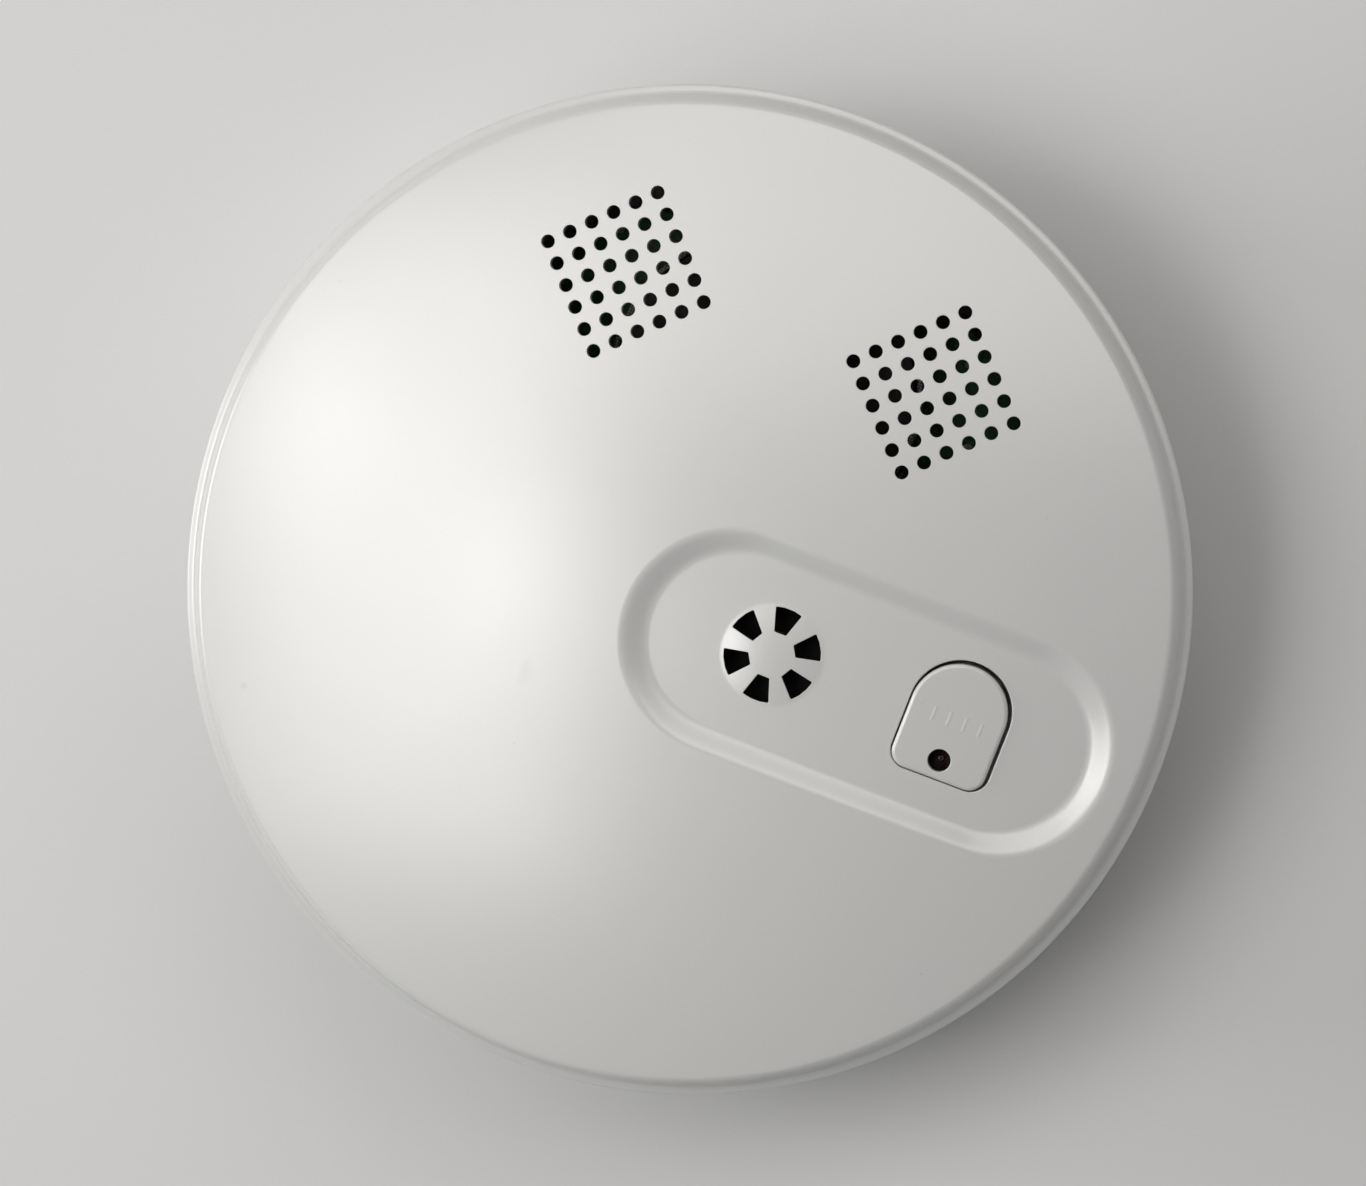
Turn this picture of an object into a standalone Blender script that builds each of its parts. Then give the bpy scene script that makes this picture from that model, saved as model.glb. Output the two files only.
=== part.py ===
"""Smoke alarm: a domed front cover and a rear housing on a twist-lock ceiling bracket.

Sizes are in millimetres and become metres where a mesh is made. The origin is the centre of
the bracket's ceiling face, +Z points into the room, and +Y is the side with the hole patches.
"""

from math import asin, cos, degrees, radians, sin, sqrt

import bmesh
import bpy
from mathutils import Matrix, Vector

MM = 0.001
GAP = 0.3  # left between pieces that touch

# Case
CASE_RADIUS = 55.0
CASE_HEIGHT = 36.0
WALL = 2.0
CREASE_RADIUS = 52.9  # where the dome turns down into the sloped band
CREASE_Z = 29.0
LIP_Z = 25.7  # narrow lip at the foot of the band
WIDEST_Z = 24.6
PARTING_Z = 11.0  # the housing's ledge, under the cover's lower edge
DOME_RISE = CASE_HEIGHT - CREASE_Z
DOME_RADIUS = (CREASE_RADIUS**2 + DOME_RISE**2) / (2 * DOME_RISE)
ROUND_STEPS = 48
SMALL_STEPS = 28

# Sunk panel in the dome
PANEL_CENTRE = (22.8, -2.1)
PANEL_RIM = (27.5, 12.3)  # half length and half width
PANEL_FLOOR = (24.1, 9.3)
PANEL_DEPTH = 1.3
PAD = (28.2, 15.5)  # thickening under the panel
PAD_TOP = -1.0
PAD_BOTTOM = PAD_TOP - 2.2

# Hole patches: square grids turned by 45 degrees
PATCH_CENTRES = ((-17.5, 30.3), (17.75, 30.2))
PATCH_COUNT = 6
HOLE_PITCH = 2.565
HOLE_RADIUS = 0.74
HOLE_SIDES = 6

# Sounder
SOUNDER_CENTRE = (12.0, -1.9)
SLOT_RADII = (2.4, 5.15)
SLOT_COUNT = 6
SLOT_HALF_ANGLE = 16.0
GRILLE_RADIUS = 5.5
GRILLE_RISE = 0.55
SOUNDER_RADIUS = 12.0
SOUNDER_TOP = 31.1
SOUNDER_BOTTOM = 25.6
COLLAR_WALL = 1.0

# Test button
BUTTON_CENTRE_X = 32.6
BUTTON_HALF_WIDTH = 5.24
BUTTON_TOP_Y = 4.67
BUTTON_BOTTOM_Y = -8.08
BUTTON_CORNER = 1.8
BUTTON_PROUD = 0.45
BUTTON_EDGE = 0.5
BUTTON_BASE_Z = 25.2
WINDOW_GAP = 0.38
WINDOW_SHIFT = (0.1, 0.12)  # the button sits a little low and left in its window
SLEEVE_WALL = 1.2
SLEEVE_BOTTOM = 26.8
FLANGE_GROW = 1.4
FLANGE_TOP = 26.4
STEM_Y = 0.5
STEM_RADIUS = 2.0
STEM_BOTTOM = 19.4
LED_CENTRE = (32.55, -6.03)
LED_RADIUS = 1.3
LED_WINDOW_RADIUS = 1.22
LED_BORE_RADIUS = 1.55
LED_BORE_TOP = 31.0

# Bracket and twist lock
BRACKET_RADIUS = 49.5
BRACKET_OPENING = 33.0
BRACKET_PLATE = 2.0
BRACKET_RIM_TOP = 4.4
LOCK_ANGLES = (0, 90, 180, 270)
LUG_RADII = (42.2, 46.8)
LUG_HALF_ANGLE = 8.0
LUG_TOP = 5.0
LUG_FLANGE_BOTTOM = 3.9
HOOK_RADII = (39.6, 44.8)
HOOK_NECK = 2.0
HOOK_HALF_ANGLE = 7.0
HOOK_BOTTOM = 2.4
HOOK_TOP = 3.5
SCREW_SLOT_RADIUS = 40.0
SCREW_SLOT_WIDTH = 3.8
SCREW_SLOT_HALF_ANGLE = 12.0

# Rear housing
SKIRT_BOTTOM = 1.0
SKIRT_RADIUS = 53.0
BACK_BOTTOM = 5.4
BACK_TOP = 7.4
TONGUE_RADII = (49.6, 51.2)
TONGUE_TOP = 13.6
BAY_LOW = (-27.4, -37.65)  # inside of the battery bay
BAY_HIGH = (24.8, -10.35)
BAY_WALL = 1.2
BAY_ROOF = 24.0
LEAD_NOTCH = (20.0, 24.4, 14.6, 19.6)  # low and high x, low and high z
COVER_SCREW_RADIUS = 45.5
COVER_SCREW_ANGLES = (90, 205, 335)
COVER_BOSS_TOP = 29.9
BOARD_SCREWS = ((-34.0, 20.0), (34.0, 20.0))
BOARD_RESTS = ((-36.0, -4.0), (36.0, -4.0))

# Circuit board and what stands on it
BOARD_BOTTOM = 12.0
BOARD_TOP = 13.6
BOARD_RADIUS = 42.0
BOARD_EDGE_Y = -8.6
ON_BOARD = BOARD_TOP + GAP
SWITCH_SIDE = 4.5
SWITCH_TOP = 17.4
PLUNGER_RADIUS = 1.15
PLUNGER_TOP = 18.7
SPRING_RADIUS = 3.8
SPRING_WIRE = 0.25
SPRING_TURNS = 5
CHAMBER_CENTRE = (0.0, 24.0)
CHAMBER_RADIUS = 17.2
CHAMBER_TOP = 24.4
VANE_COUNT = 12
RESISTORS = ((-35.5, 6.0, 90), (-20.5, 6.5, 90), (30.0, 22.5, 40), (37.0, 8.0, 90))  # x, y, turn
BATTERY_LOW = (-27.0, -37.25, 5.9)
BATTERY_HIGH = (19.0, -10.75, 23.4)
TERMINAL_SPACING = 12.7
TERMINAL_END = 21.2
SNAP_END = 24.4

WHITE = ((0.86, 0.855, 0.83), 0.36, 0.0)
INNER_WHITE = ((0.80, 0.80, 0.78), 0.5, 0.0)
DARK = ((0.02, 0.02, 0.022), 0.55, 0.0)
STEEL = ((0.62, 0.62, 0.60), 0.32, 1.0)
BRASS = ((0.78, 0.60, 0.28), 0.30, 1.0)


# ---------------------------------------------------------------- scene and helpers


def clear_scene():
    for obj in list(bpy.data.objects):
        bpy.data.objects.remove(obj, do_unlink=True)


def new_collection(name):
    collection = bpy.data.collections.new(name)
    bpy.context.scene.collection.children.link(collection)
    return collection


clear_scene()
PARTS = new_collection("smoke_alarm")
CUTTERS = new_collection("cutters")


def material(name, look):
    colour, roughness, metallic = look
    made = bpy.data.materials.new(name)
    made.use_nodes = True
    shader = made.node_tree.nodes["Principled BSDF"]
    shader.inputs["Base Color"].default_value = (*colour, 1.0)
    shader.inputs["Roughness"].default_value = roughness
    shader.inputs["Metallic"].default_value = metallic
    return made


def part(obj, look, smooth=35):
    """Names the material after the part and rounds off its shading below the given angle."""
    PARTS.objects.link(obj)
    obj.data.materials.clear()
    obj.data.materials.append(material(obj.name, look))
    obj.data.shade_smooth()
    obj.data.set_sharp_from_angle(angle=radians(smooth))
    return obj


def helper(obj):
    """Keeps a cutter or a piece that is joined to another out of the render."""
    CUTTERS.objects.link(obj)
    obj.hide_render = True
    obj.display_type = "WIRE"
    return obj


def combine(base, tools, operation):
    for tool in tools:
        if not tool.users_collection:
            helper(tool)
        step = base.modifiers.new(f"{operation.lower()} {tool.name}", "BOOLEAN")
        step.operation = operation
        step.object = tool
        step.solver = "EXACT"
    return base


def join(base, *tools):
    return combine(base, tools, "UNION")


def cut(base, *tools):
    return combine(base, tools, "DIFFERENCE")


def mesh_object(name, shape):
    mesh = bpy.data.meshes.new(name)
    shape.to_mesh(mesh)
    shape.free()
    return bpy.data.objects.new(name, mesh)


def turned(name, profile, steps=ROUND_STEPS, centre=(0, 0), on_axis=True):
    """A profile of (radius, z), outer side running down, turned about a vertical axis."""
    shape = bmesh.new()
    points = [shape.verts.new((r * MM, 0, z * MM)) for r, z in profile]
    for start, end in zip(points, points[1:]):
        shape.edges.new((start, end))
    if not on_axis:
        shape.edges.new((points[-1], points[0]))
    obj = mesh_object(name, shape)
    obj.location = (centre[0] * MM, centre[1] * MM, 0)
    screw = obj.modifiers.new("turn", "SCREW")
    screw.steps = steps
    screw.render_steps = steps
    screw.use_smooth_shade = True
    screw.use_merge_vertices = True
    screw.merge_threshold = 1e-5
    return obj


def extruded(name, outlines, low, high):
    """Flat outlines (an outer one, then holes) filled and given a thickness along Z."""
    curve = bpy.data.curves.new(name, "CURVE")
    curve.dimensions = "2D"
    curve.fill_mode = "BOTH"
    curve.extrude = (high - low) / 2 * MM
    for outline in outlines:
        spline = curve.splines.new("POLY")
        spline.points.add(len(outline) - 1)
        for point, (x, y) in zip(spline.points, outline):
            point.co = (x * MM, y * MM, 0, 1)
        spline.use_cyclic_u = True
    guide = bpy.data.objects.new(name + " outline", curve)
    guide.location.z = (low + high) / 2 * MM
    return curve_to_mesh(name, guide)


def curve_to_mesh(name, guide):
    """The curve as a closed mesh, with its caps welded to its sides."""
    bpy.context.scene.collection.objects.link(guide)
    bpy.context.view_layer.update()
    graph = bpy.context.evaluated_depsgraph_get()
    mesh = bpy.data.meshes.new_from_object(guide.evaluated_get(graph))
    shape = bmesh.new()
    shape.from_mesh(mesh)
    bmesh.ops.remove_doubles(shape, verts=shape.verts, dist=1e-6)
    bmesh.ops.recalc_face_normals(shape, faces=shape.faces)
    shape.to_mesh(mesh)
    shape.free()
    obj = bpy.data.objects.new(name, mesh)
    obj.matrix_world = guide.matrix_world
    bpy.data.objects.remove(guide, do_unlink=True)
    return obj


def cylinder(name, centre, radius, low, high, sides=24, top_radius=None):
    shape = bmesh.new()
    bmesh.ops.create_cone(
        shape,
        cap_ends=True,
        segments=sides,
        radius1=radius * MM,
        radius2=(radius if top_radius is None else top_radius) * MM,
        depth=(high - low) * MM,
    )
    x, y = centre
    bmesh.ops.translate(shape, verts=shape.verts, vec=Vector((x, y, (low + high) / 2)) * MM)
    return mesh_object(name, shape)


def lying_cylinder(name, start, end, radius, sides=16):
    """A cylinder between two points given in millimetres."""
    start, end = Vector(start) * MM, Vector(end) * MM
    run = end - start
    shape = bmesh.new()
    bmesh.ops.create_cone(
        shape, cap_ends=True, segments=sides, radius1=radius * MM, radius2=radius * MM, depth=run.length
    )
    turn = run.to_track_quat("Z", "Y").to_matrix().to_4x4()
    place = Matrix.Translation((start + end) / 2) @ turn
    bmesh.ops.transform(shape, matrix=place, verts=shape.verts)
    return mesh_object(name, shape)


def block(name, low, high, bevel=0.0):
    low, high = Vector(low) * MM, Vector(high) * MM
    shape = bmesh.new()
    bmesh.ops.create_cube(shape, size=1.0)
    size = Matrix.Diagonal((*(high - low), 1.0))
    bmesh.ops.transform(shape, matrix=Matrix.Translation((low + high) / 2) @ size, verts=shape.verts)
    obj = mesh_object(name, shape)
    if bevel:
        edge = obj.modifiers.new("edge", "BEVEL")
        edge.width = bevel * MM
        edge.segments = 2
    return obj


def tube(name, points, radius, resolution=2):
    """A wire along points given in millimetres, with filled caps."""
    curve = bpy.data.curves.new(name, "CURVE")
    curve.dimensions = "3D"
    curve.bevel_depth = radius * MM
    curve.bevel_resolution = resolution
    curve.use_fill_caps = True
    spline = curve.splines.new("POLY")
    spline.points.add(len(points) - 1)
    for target, point in zip(spline.points, points):
        target.co = (*(Vector(point) * MM), 1)
    guide = bpy.data.objects.new(name + " path", curve)
    return curve_to_mesh(name, guide)


# ---------------------------------------------------------------- outlines and surfaces


def polar(radius, angle, centre=(0, 0)):
    turn = radians(angle)
    return centre[0] + radius * cos(turn), centre[1] + radius * sin(turn)


def arc(radius, first, last, steps, centre=(0, 0)):
    """Points along an arc, both ends included, angles in degrees."""
    return [polar(radius, first + (last - first) * i / steps, centre) for i in range(steps + 1)]


def ring(radius, centre, steps=SMALL_STEPS):
    return arc(radius, 0, 360 - 360 / steps, steps - 1, centre)


def sector(radii, middle, half_angle, steps=4, centre=(0, 0)):
    inner, outer = radii
    first, last = middle - half_angle, middle + half_angle
    return arc(outer, first, last, steps, centre) + arc(inner, last, first, steps, centre)


def arc_slot(radius, width, middle, half_angle):
    """A round-ended slot that follows a circle."""
    first, last = middle - half_angle, middle + half_angle
    half = width / 2
    outer = arc(radius + half, first, last, 6)
    far_end = arc(half, last, last + 180, 6, polar(radius, last))[1:-1]
    inner = arc(radius - half, last, first, 6)
    near_end = arc(half, first + 180, first + 360, 6, polar(radius, first))[1:-1]
    return outer + far_end + inner + near_end


def stadium(half_length, half_width, centre=PANEL_CENTRE, arc_steps=12, side_steps=5):
    """A round-ended outline along X."""
    x, y = centre
    reach = half_length - half_width
    right = arc(half_width, -90, 90, arc_steps, (x + reach, y))
    left = arc(half_width, 90, 270, arc_steps, (x - reach, y))
    inner = [reach - 2 * reach * i / side_steps for i in range(1, side_steps)]
    top = [(x + step, y + half_width) for step in inner]
    bottom = [(x - step, y - half_width) for step in inner]
    return right + top + left + bottom


def rounded_box(low, high, radius, steps=4):
    corners = (
        (high[0] - radius, high[1] - radius, 0),
        (low[0] + radius, high[1] - radius, 90),
        (low[0] + radius, low[1] + radius, 180),
        (high[0] - radius, low[1] + radius, 270),
    )
    return [p for x, y, turn in corners for p in arc(radius, turn, turn + 90, steps, (x, y))]


def arch(grow=0.0, shift=(0, 0)):
    """The test button's outline: a half-round top and two rounded lower corners."""
    half = BUTTON_HALF_WIDTH + grow
    corner = max(BUTTON_CORNER + grow, 0.2)
    x = BUTTON_CENTRE_X + shift[0]
    y = BUTTON_BOTTOM_Y + shift[1] - grow + corner
    top = arc(half, 0, 180, 12, (x, BUTTON_TOP_Y + shift[1] - BUTTON_HALF_WIDTH))
    left = arc(corner, 180, 270, 3, (x - half + corner, y))
    right = arc(corner, 270, 360, 3, (x + half - corner, y))
    return top + left + right


def dome(x, y):
    """Height of the outer sphere."""
    return CASE_HEIGHT - DOME_RADIUS + sqrt(DOME_RADIUS**2 - x * x - y * y)


def over_dome(offset):
    return lambda x, y: dome(x, y) + offset


def level(z):
    return lambda x, y: z


def loft(name, rings):
    """A closed skin through rings of (outline, height function), all with as many points."""
    shape = bmesh.new()
    loops = [
        [shape.verts.new((x * MM, y * MM, height(x, y) * MM)) for x, y in outline]
        for outline, height in rings
    ]
    for above, below in zip(loops, loops[1:]):
        for i in range(len(above)):
            shape.faces.new((above[i - 1], below[i - 1], below[i], above[i]))
    shape.faces.new(loops[0])
    shape.faces.new(reversed(loops[-1]))
    bmesh.ops.recalc_face_normals(shape, faces=shape.faces)
    bmesh.ops.triangulate(shape, faces=[face for face in shape.faces if len(face.verts) > 4])
    return mesh_object(name, shape)


def inset_rings(size, offset, insets):
    """Stadiums of the given half sizes, drawn in step by step, at one offset from the dome."""
    length, width = size
    return [(stadium(length - inset, width - inset), over_dome(offset)) for inset in insets]


# ---------------------------------------------------------------- front cover


def cover_profile():
    """Half section of the shell, from the apex down the outside and back up the inside."""
    outer = [(r, dome(r, 0)) for r in (0, 4.5, 9, 18, 27, 36, 44, CREASE_RADIUS - 0.6)]
    band = [
        (CREASE_RADIUS + 0.05, CREASE_Z - 0.4),
        (CREASE_RADIUS + 1.0, LIP_Z + 0.4),
        (CASE_RADIUS - 0.5, LIP_Z),
        (CASE_RADIUS - 0.1, LIP_Z - 0.3),
        (CASE_RADIUS, WIDEST_Z),
        (CASE_RADIUS - 0.15, WIDEST_Z - 2.0),
        (CASE_RADIUS - 1.3, PARTING_Z + GAP),
    ]
    inside = [
        (CASE_RADIUS - 1.3 - WALL, PARTING_Z + GAP),
        (CASE_RADIUS - WALL, WIDEST_Z - 1.0),
        (CREASE_RADIUS - WALL + 0.4, CREASE_Z - 2.6),
    ]
    under = [(r, dome(r, 0) - WALL) for r in (48, 36, 24, 12, 0)]
    return outer + band + inside + under


def hole_patches():
    """Every hole of both patches as one set of cutters."""
    shape = bmesh.new()
    middle = (PATCH_COUNT - 1) / 2
    for x, y in PATCH_CENTRES:
        for i in range(PATCH_COUNT):
            for j in range(PATCH_COUNT):
                across = (i - middle - (j - middle)) * HOLE_PITCH / sqrt(2)
                up = (i - middle + j - middle) * HOLE_PITCH / sqrt(2)
                place = Vector((x + across, y + up, CASE_HEIGHT - 5)) * MM
                bmesh.ops.create_cone(
                    shape,
                    cap_ends=True,
                    segments=HOLE_SIDES,
                    radius1=HOLE_RADIUS * MM,
                    radius2=HOLE_RADIUS * MM,
                    depth=16 * MM,
                    matrix=Matrix.Translation(place),
                )
    return mesh_object("hole patches", shape)


def panel_cutter():
    """Sinks the panel: a sloped wall from the rim to a floor that follows the dome."""
    slope = PANEL_DEPTH / (PANEL_RIM[0] - PANEL_FLOOR[0])
    past = 2.4
    outside = stadium(PANEL_RIM[0] + past, PANEL_RIM[1] + past)
    floor = inset_rings(PANEL_FLOOR, -PANEL_DEPTH, (0, 3, 6, 9))
    return loft("panel", [(outside, over_dome(6)), (outside, over_dome(past * slope)), *floor])


def panel_pad():
    insets = (0, 4, 8, 12, 15)
    above = inset_rings(PAD, PAD_TOP, insets[::-1])
    return loft("panel pad", above + inset_rings(PAD, PAD_BOTTOM, insets))


def grille_disc():
    """The low rounded disc that the sounder slots are cut in."""
    top = dome(*SOUNDER_CENTRE) - PANEL_DEPTH
    steps = (0, 2.3, 3.8, 4.9)
    rows = [(r, top + GRILLE_RISE * (1 - (r / GRILLE_RADIUS) ** 2)) for r in steps]
    rows += [(GRILLE_RADIUS, top - 0.1), (GRILLE_RADIUS, top - 1), (0, top - 1)]
    return turned("grille disc", rows, SMALL_STEPS, SOUNDER_CENTRE)


def sounder_slots():
    slots = []
    for i in range(SLOT_COUNT):
        middle = 30 + 360 / SLOT_COUNT * i
        outline = sector(SLOT_RADII, middle, SLOT_HALF_ANGLE, 3, SOUNDER_CENTRE)
        slots.append(extruded(f"sounder slot {i + 1}", [outline], 28, 40))
    return slots


def sounder_collar():
    """The ring under the cover that holds the sounder."""
    inner = SOUNDER_RADIUS + 0.4
    outer = inner + COLLAR_WALL
    outlines = [ring(r, SOUNDER_CENTRE) for r in (outer, inner)]
    return extruded("sounder collar", outlines, 27.5, 32.2)


def cover_boss(angle):
    centre = polar(COVER_SCREW_RADIUS, angle)
    return cylinder(f"cover boss {angle}", centre, 3.0, PARTING_Z + 1.3, COVER_BOSS_TOP, 20)


def front_cover():
    cover = turned("front_cover", cover_profile())
    join(cover, panel_pad())
    join(cover, *[cover_boss(angle) for angle in COVER_SCREW_ANGLES])
    join(cover, sounder_collar())
    sleeve = arch(WINDOW_GAP + SLEEVE_WALL, WINDOW_SHIFT)
    join(cover, extruded("button sleeve", [sleeve], SLEEVE_BOTTOM, 30.6))
    cut(cover, panel_cutter())
    join(cover, grille_disc())
    cut(cover, extruded("button window", [arch(WINDOW_GAP, WINDOW_SHIFT)], 24, 40))
    cut(cover, *sounder_slots())
    for angle in COVER_SCREW_ANGLES:
        pilot = cylinder(f"pilot {angle}", polar(COVER_SCREW_RADIUS, angle), 1.7, 8, 19.5, 12)
        cut(cover, pilot)
    cut(cover, hole_patches())
    return part(cover, WHITE)


# ---------------------------------------------------------------- test button and status light


def test_button():
    top = -PANEL_DEPTH + BUTTON_PROUD
    rings = [
        (arch(-BUTTON_EDGE - 2.4), over_dome(top)),
        (arch(-BUTTON_EDGE), over_dome(top)),
        (arch(-0.12), over_dome(top - 0.15)),
        (arch(), over_dome(top - BUTTON_EDGE)),
        (arch(), level(BUTTON_BASE_Z + 0.6)),
    ]
    button = loft("test_button", rings)
    join(button, extruded("button flange", [arch(FLANGE_GROW)], BUTTON_BASE_Z, FLANGE_TOP))
    stem_centre = (BUTTON_CENTRE_X, STEM_Y)
    join(button, cylinder("button stem", stem_centre, STEM_RADIUS, STEM_BOTTOM, BUTTON_BASE_Z + 2, 20))
    cut(button, cylinder("light bore", LED_CENTRE, LED_BORE_RADIUS, 20, LED_BORE_TOP, 20))
    cut(button, cylinder("light window", LED_CENTRE, LED_WINDOW_RADIUS, 20, 40, 20))
    return part(button, WHITE)


def button_spring():
    """A coil round the stem and the switch, from the board up to the flange."""
    low = ON_BOARD + SPRING_WIRE
    high = BUTTON_BASE_Z - GAP - SPRING_WIRE
    steps = 14 * SPRING_TURNS
    points = []
    for i in range(steps + 1):
        x, y = polar(SPRING_RADIUS, 360 * SPRING_TURNS * i / steps, (BUTTON_CENTRE_X, STEM_Y))
        points.append((x, y, low + (high - low) * i / steps))
    return part(tube("button_spring", points, SPRING_WIRE, 1), STEEL)


def status_led():
    x, y = LED_CENTRE
    light = turned(
        "status_led",
        [(0, 29.8), (0.65, 29.6), (1.1, 29.15), (LED_RADIUS, 28.5), (LED_RADIUS, 24.5), (0, 24.5)],
        20,
        LED_CENTRE,
    )
    for side in (-0.8, 0.8):
        low = (x + side - 0.25, y - 0.25, ON_BOARD)
        join(light, block(f"light leg {side}", low, (x + side + 0.25, y + 0.25, 25.5)))
    return part(light, ((0.55, 0.03, 0.04), 0.12, 0.0))


def test_switch():
    x, y = BUTTON_CENTRE_X, STEM_Y
    half = SWITCH_SIDE / 2
    body = block("test_switch_body", (x - half, y - half, ON_BOARD), (x + half, y + half, SWITCH_TOP))
    cut(body, cylinder("plunger hole", (x, y), PLUNGER_RADIUS + 0.35, 15.0, 20, 16))
    plunger = cylinder("test_switch_plunger", (x, y), PLUNGER_RADIUS, 15.6, PLUNGER_TOP, 20)
    return part(body, DARK), part(plunger, ((0.75, 0.74, 0.70), 0.5, 0.0))


# ---------------------------------------------------------------- sounder


def sounder():
    """Resonator cup, brass plate with its ceramic disc, and the ring that holds them."""
    radius = SOUNDER_RADIUS
    cup_profile = [
        (2.4, SOUNDER_TOP),
        (radius, SOUNDER_TOP),
        (radius, SOUNDER_BOTTOM + 1.4),
        (radius - 1.2, SOUNDER_BOTTOM + 1.4),
        (radius - 1.2, SOUNDER_TOP - 1.2),
        (2.4, SOUNDER_TOP - 1.2),
    ]
    ring_profile = [
        (8.6, 27.7),
        (10.4, 27.7),
        (10.4, 26.7),
        (radius, 26.7),
        (radius, SOUNDER_BOTTOM),
        (8.6, SOUNDER_BOTTOM),
    ]
    cup = turned("sounder_housing", cup_profile, SMALL_STEPS, SOUNDER_CENTRE, on_axis=False)
    plate = cylinder("piezo_plate", SOUNDER_CENTRE, 10.4, 28.0, 28.3, SMALL_STEPS)
    ceramic = cylinder("piezo_ceramic", SOUNDER_CENTRE, 7.4, 27.4, 27.7, SMALL_STEPS)
    retainer = turned("sounder_retainer", ring_profile, SMALL_STEPS, SOUNDER_CENTRE, on_axis=False)
    part(cup, DARK)
    part(plate, BRASS)
    part(ceramic, ((0.82, 0.80, 0.74), 0.6, 0.0))
    part(retainer, DARK)
    return cup, plate, ceramic, retainer


# ---------------------------------------------------------------- optical chamber


def chamber():
    base_profile = [
        (0, ON_BOARD + 1.2),
        (CHAMBER_RADIUS - 1.5, ON_BOARD + 1.2),
        (CHAMBER_RADIUS - 1.5, ON_BOARD + 2.0),
        (CHAMBER_RADIUS, ON_BOARD + 2.0),
        (CHAMBER_RADIUS, ON_BOARD),
        (0, ON_BOARD),
    ]
    base = turned("chamber_base", base_profile, SMALL_STEPS, CHAMBER_CENTRE)
    floor = ON_BOARD + 2.0 + GAP
    cap_radius, cap_low = CHAMBER_RADIUS - 0.9, CHAMBER_TOP - 1.2
    cap = cylinder("chamber_labyrinth", CHAMBER_CENTRE, cap_radius, cap_low, CHAMBER_TOP, SMALL_STEPS)
    for i in range(VANE_COUNT):
        join(cap, vane(i, floor, CHAMBER_TOP - 0.6))
    outlines = [ring(r, CHAMBER_CENTRE) for r in (CHAMBER_RADIUS, CHAMBER_RADIUS - 0.5)]
    screen = extruded("insect_screen", outlines, floor, CHAMBER_TOP - 1.5)
    return part(base, DARK), part(cap, DARK), part(screen, STEEL)


def vane(i, low, high):
    """One bent light trap: a straight wall that turns aside half way out."""
    angle = 360 / VANE_COUNT * i
    inner = polar(10.2, angle, CHAMBER_CENTRE)
    bend = polar(12.8, angle + 9, CHAMBER_CENTRE)
    outer = polar(15.2, angle - 4, CHAMBER_CENTRE)
    wide = [polar(10.2, angle + 4.5, CHAMBER_CENTRE), polar(12.8, angle + 13, CHAMBER_CENTRE)]
    wide.append(polar(15.2, angle - 0.5, CHAMBER_CENTRE))
    outline = [inner, bend, outer, *reversed(wide)]
    return extruded(f"vane {i + 1}", [outline], low, high)


def chamber_optics():
    """Emitter and receiver look past each other across the chamber, 120 degrees apart."""
    x, y = CHAMBER_CENTRE
    z = ON_BOARD + 1.2 + GAP + 2.3
    emitter_back = polar(8.4, 210, CHAMBER_CENTRE)
    emitter_front = polar(3.2, 210, CHAMBER_CENTRE)
    emitter = lying_cylinder("infrared_emitter", (*emitter_back, z), (*emitter_front, z), 1.9)
    receiver_back = polar(8.0, 330, CHAMBER_CENTRE)
    receiver_front = polar(4.4, 330, CHAMBER_CENTRE)
    receiver = lying_cylinder("photodiode_receiver", (*receiver_back, z), (*receiver_front, z), 1.7)
    shield_back = polar(9.6, 330, CHAMBER_CENTRE)
    shield_front = polar(3.6, 330, CHAMBER_CENTRE)
    shield = lying_cylinder("photodiode_shield", (*shield_back, z), (*shield_front, z), 2.5, 8)
    bore = polar(2.0, 330, CHAMBER_CENTRE)
    bore_back = polar(8.6, 330, CHAMBER_CENTRE)
    cut(shield, lying_cylinder("shield bore", (*bore_back, z), (*bore, z), 2.05, 16))
    part(emitter, ((0.10, 0.09, 0.16), 0.15, 0.0))
    part(receiver, DARK)
    part(shield, STEEL)
    return emitter, receiver, shield


# ---------------------------------------------------------------- circuit board


def circuit_board():
    start = degrees(asin(BOARD_EDGE_Y / BOARD_RADIUS))  # where the arc meets the straight edge
    outline = arc(BOARD_RADIUS, start, 180 - start, 40)
    holes = [ring(1.6, centre, 12) for centre in BOARD_SCREWS]
    board = extruded("circuit_board", [outline, *holes], BOARD_BOTTOM, BOARD_TOP)
    return part(board, ((0.03, 0.17, 0.07), 0.4, 0.0))


def detector_chip():
    x, y = -28.0, 4.0
    chip = block("detector_chip", (x - 3.2, y - 9.5, ON_BOARD + 0.5), (x + 3.2, y + 9.5, ON_BOARD + 3.8))
    for side in (-1, 1):
        for i in range(8):
            leg_y = y + (i - 3.5) * 2.54
            low = (x + side * 3.6 - 0.7, leg_y - 0.25, ON_BOARD)
            high = (x + side * 3.6 + 0.7, leg_y + 0.25, ON_BOARD + 1.6)
            join(chip, block(f"chip leg {side} {i}", low, high))
    return part(chip, DARK)


def capacitor(name, centre, radius, height):
    top = ON_BOARD + height
    profile = [(0, top), (radius - 0.4, top), (radius, top - 0.4), (radius, ON_BOARD), (0, ON_BOARD)]
    return part(turned(name, profile, 16, centre), ((0.05, 0.07, 0.16), 0.35, 0.0))


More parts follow.
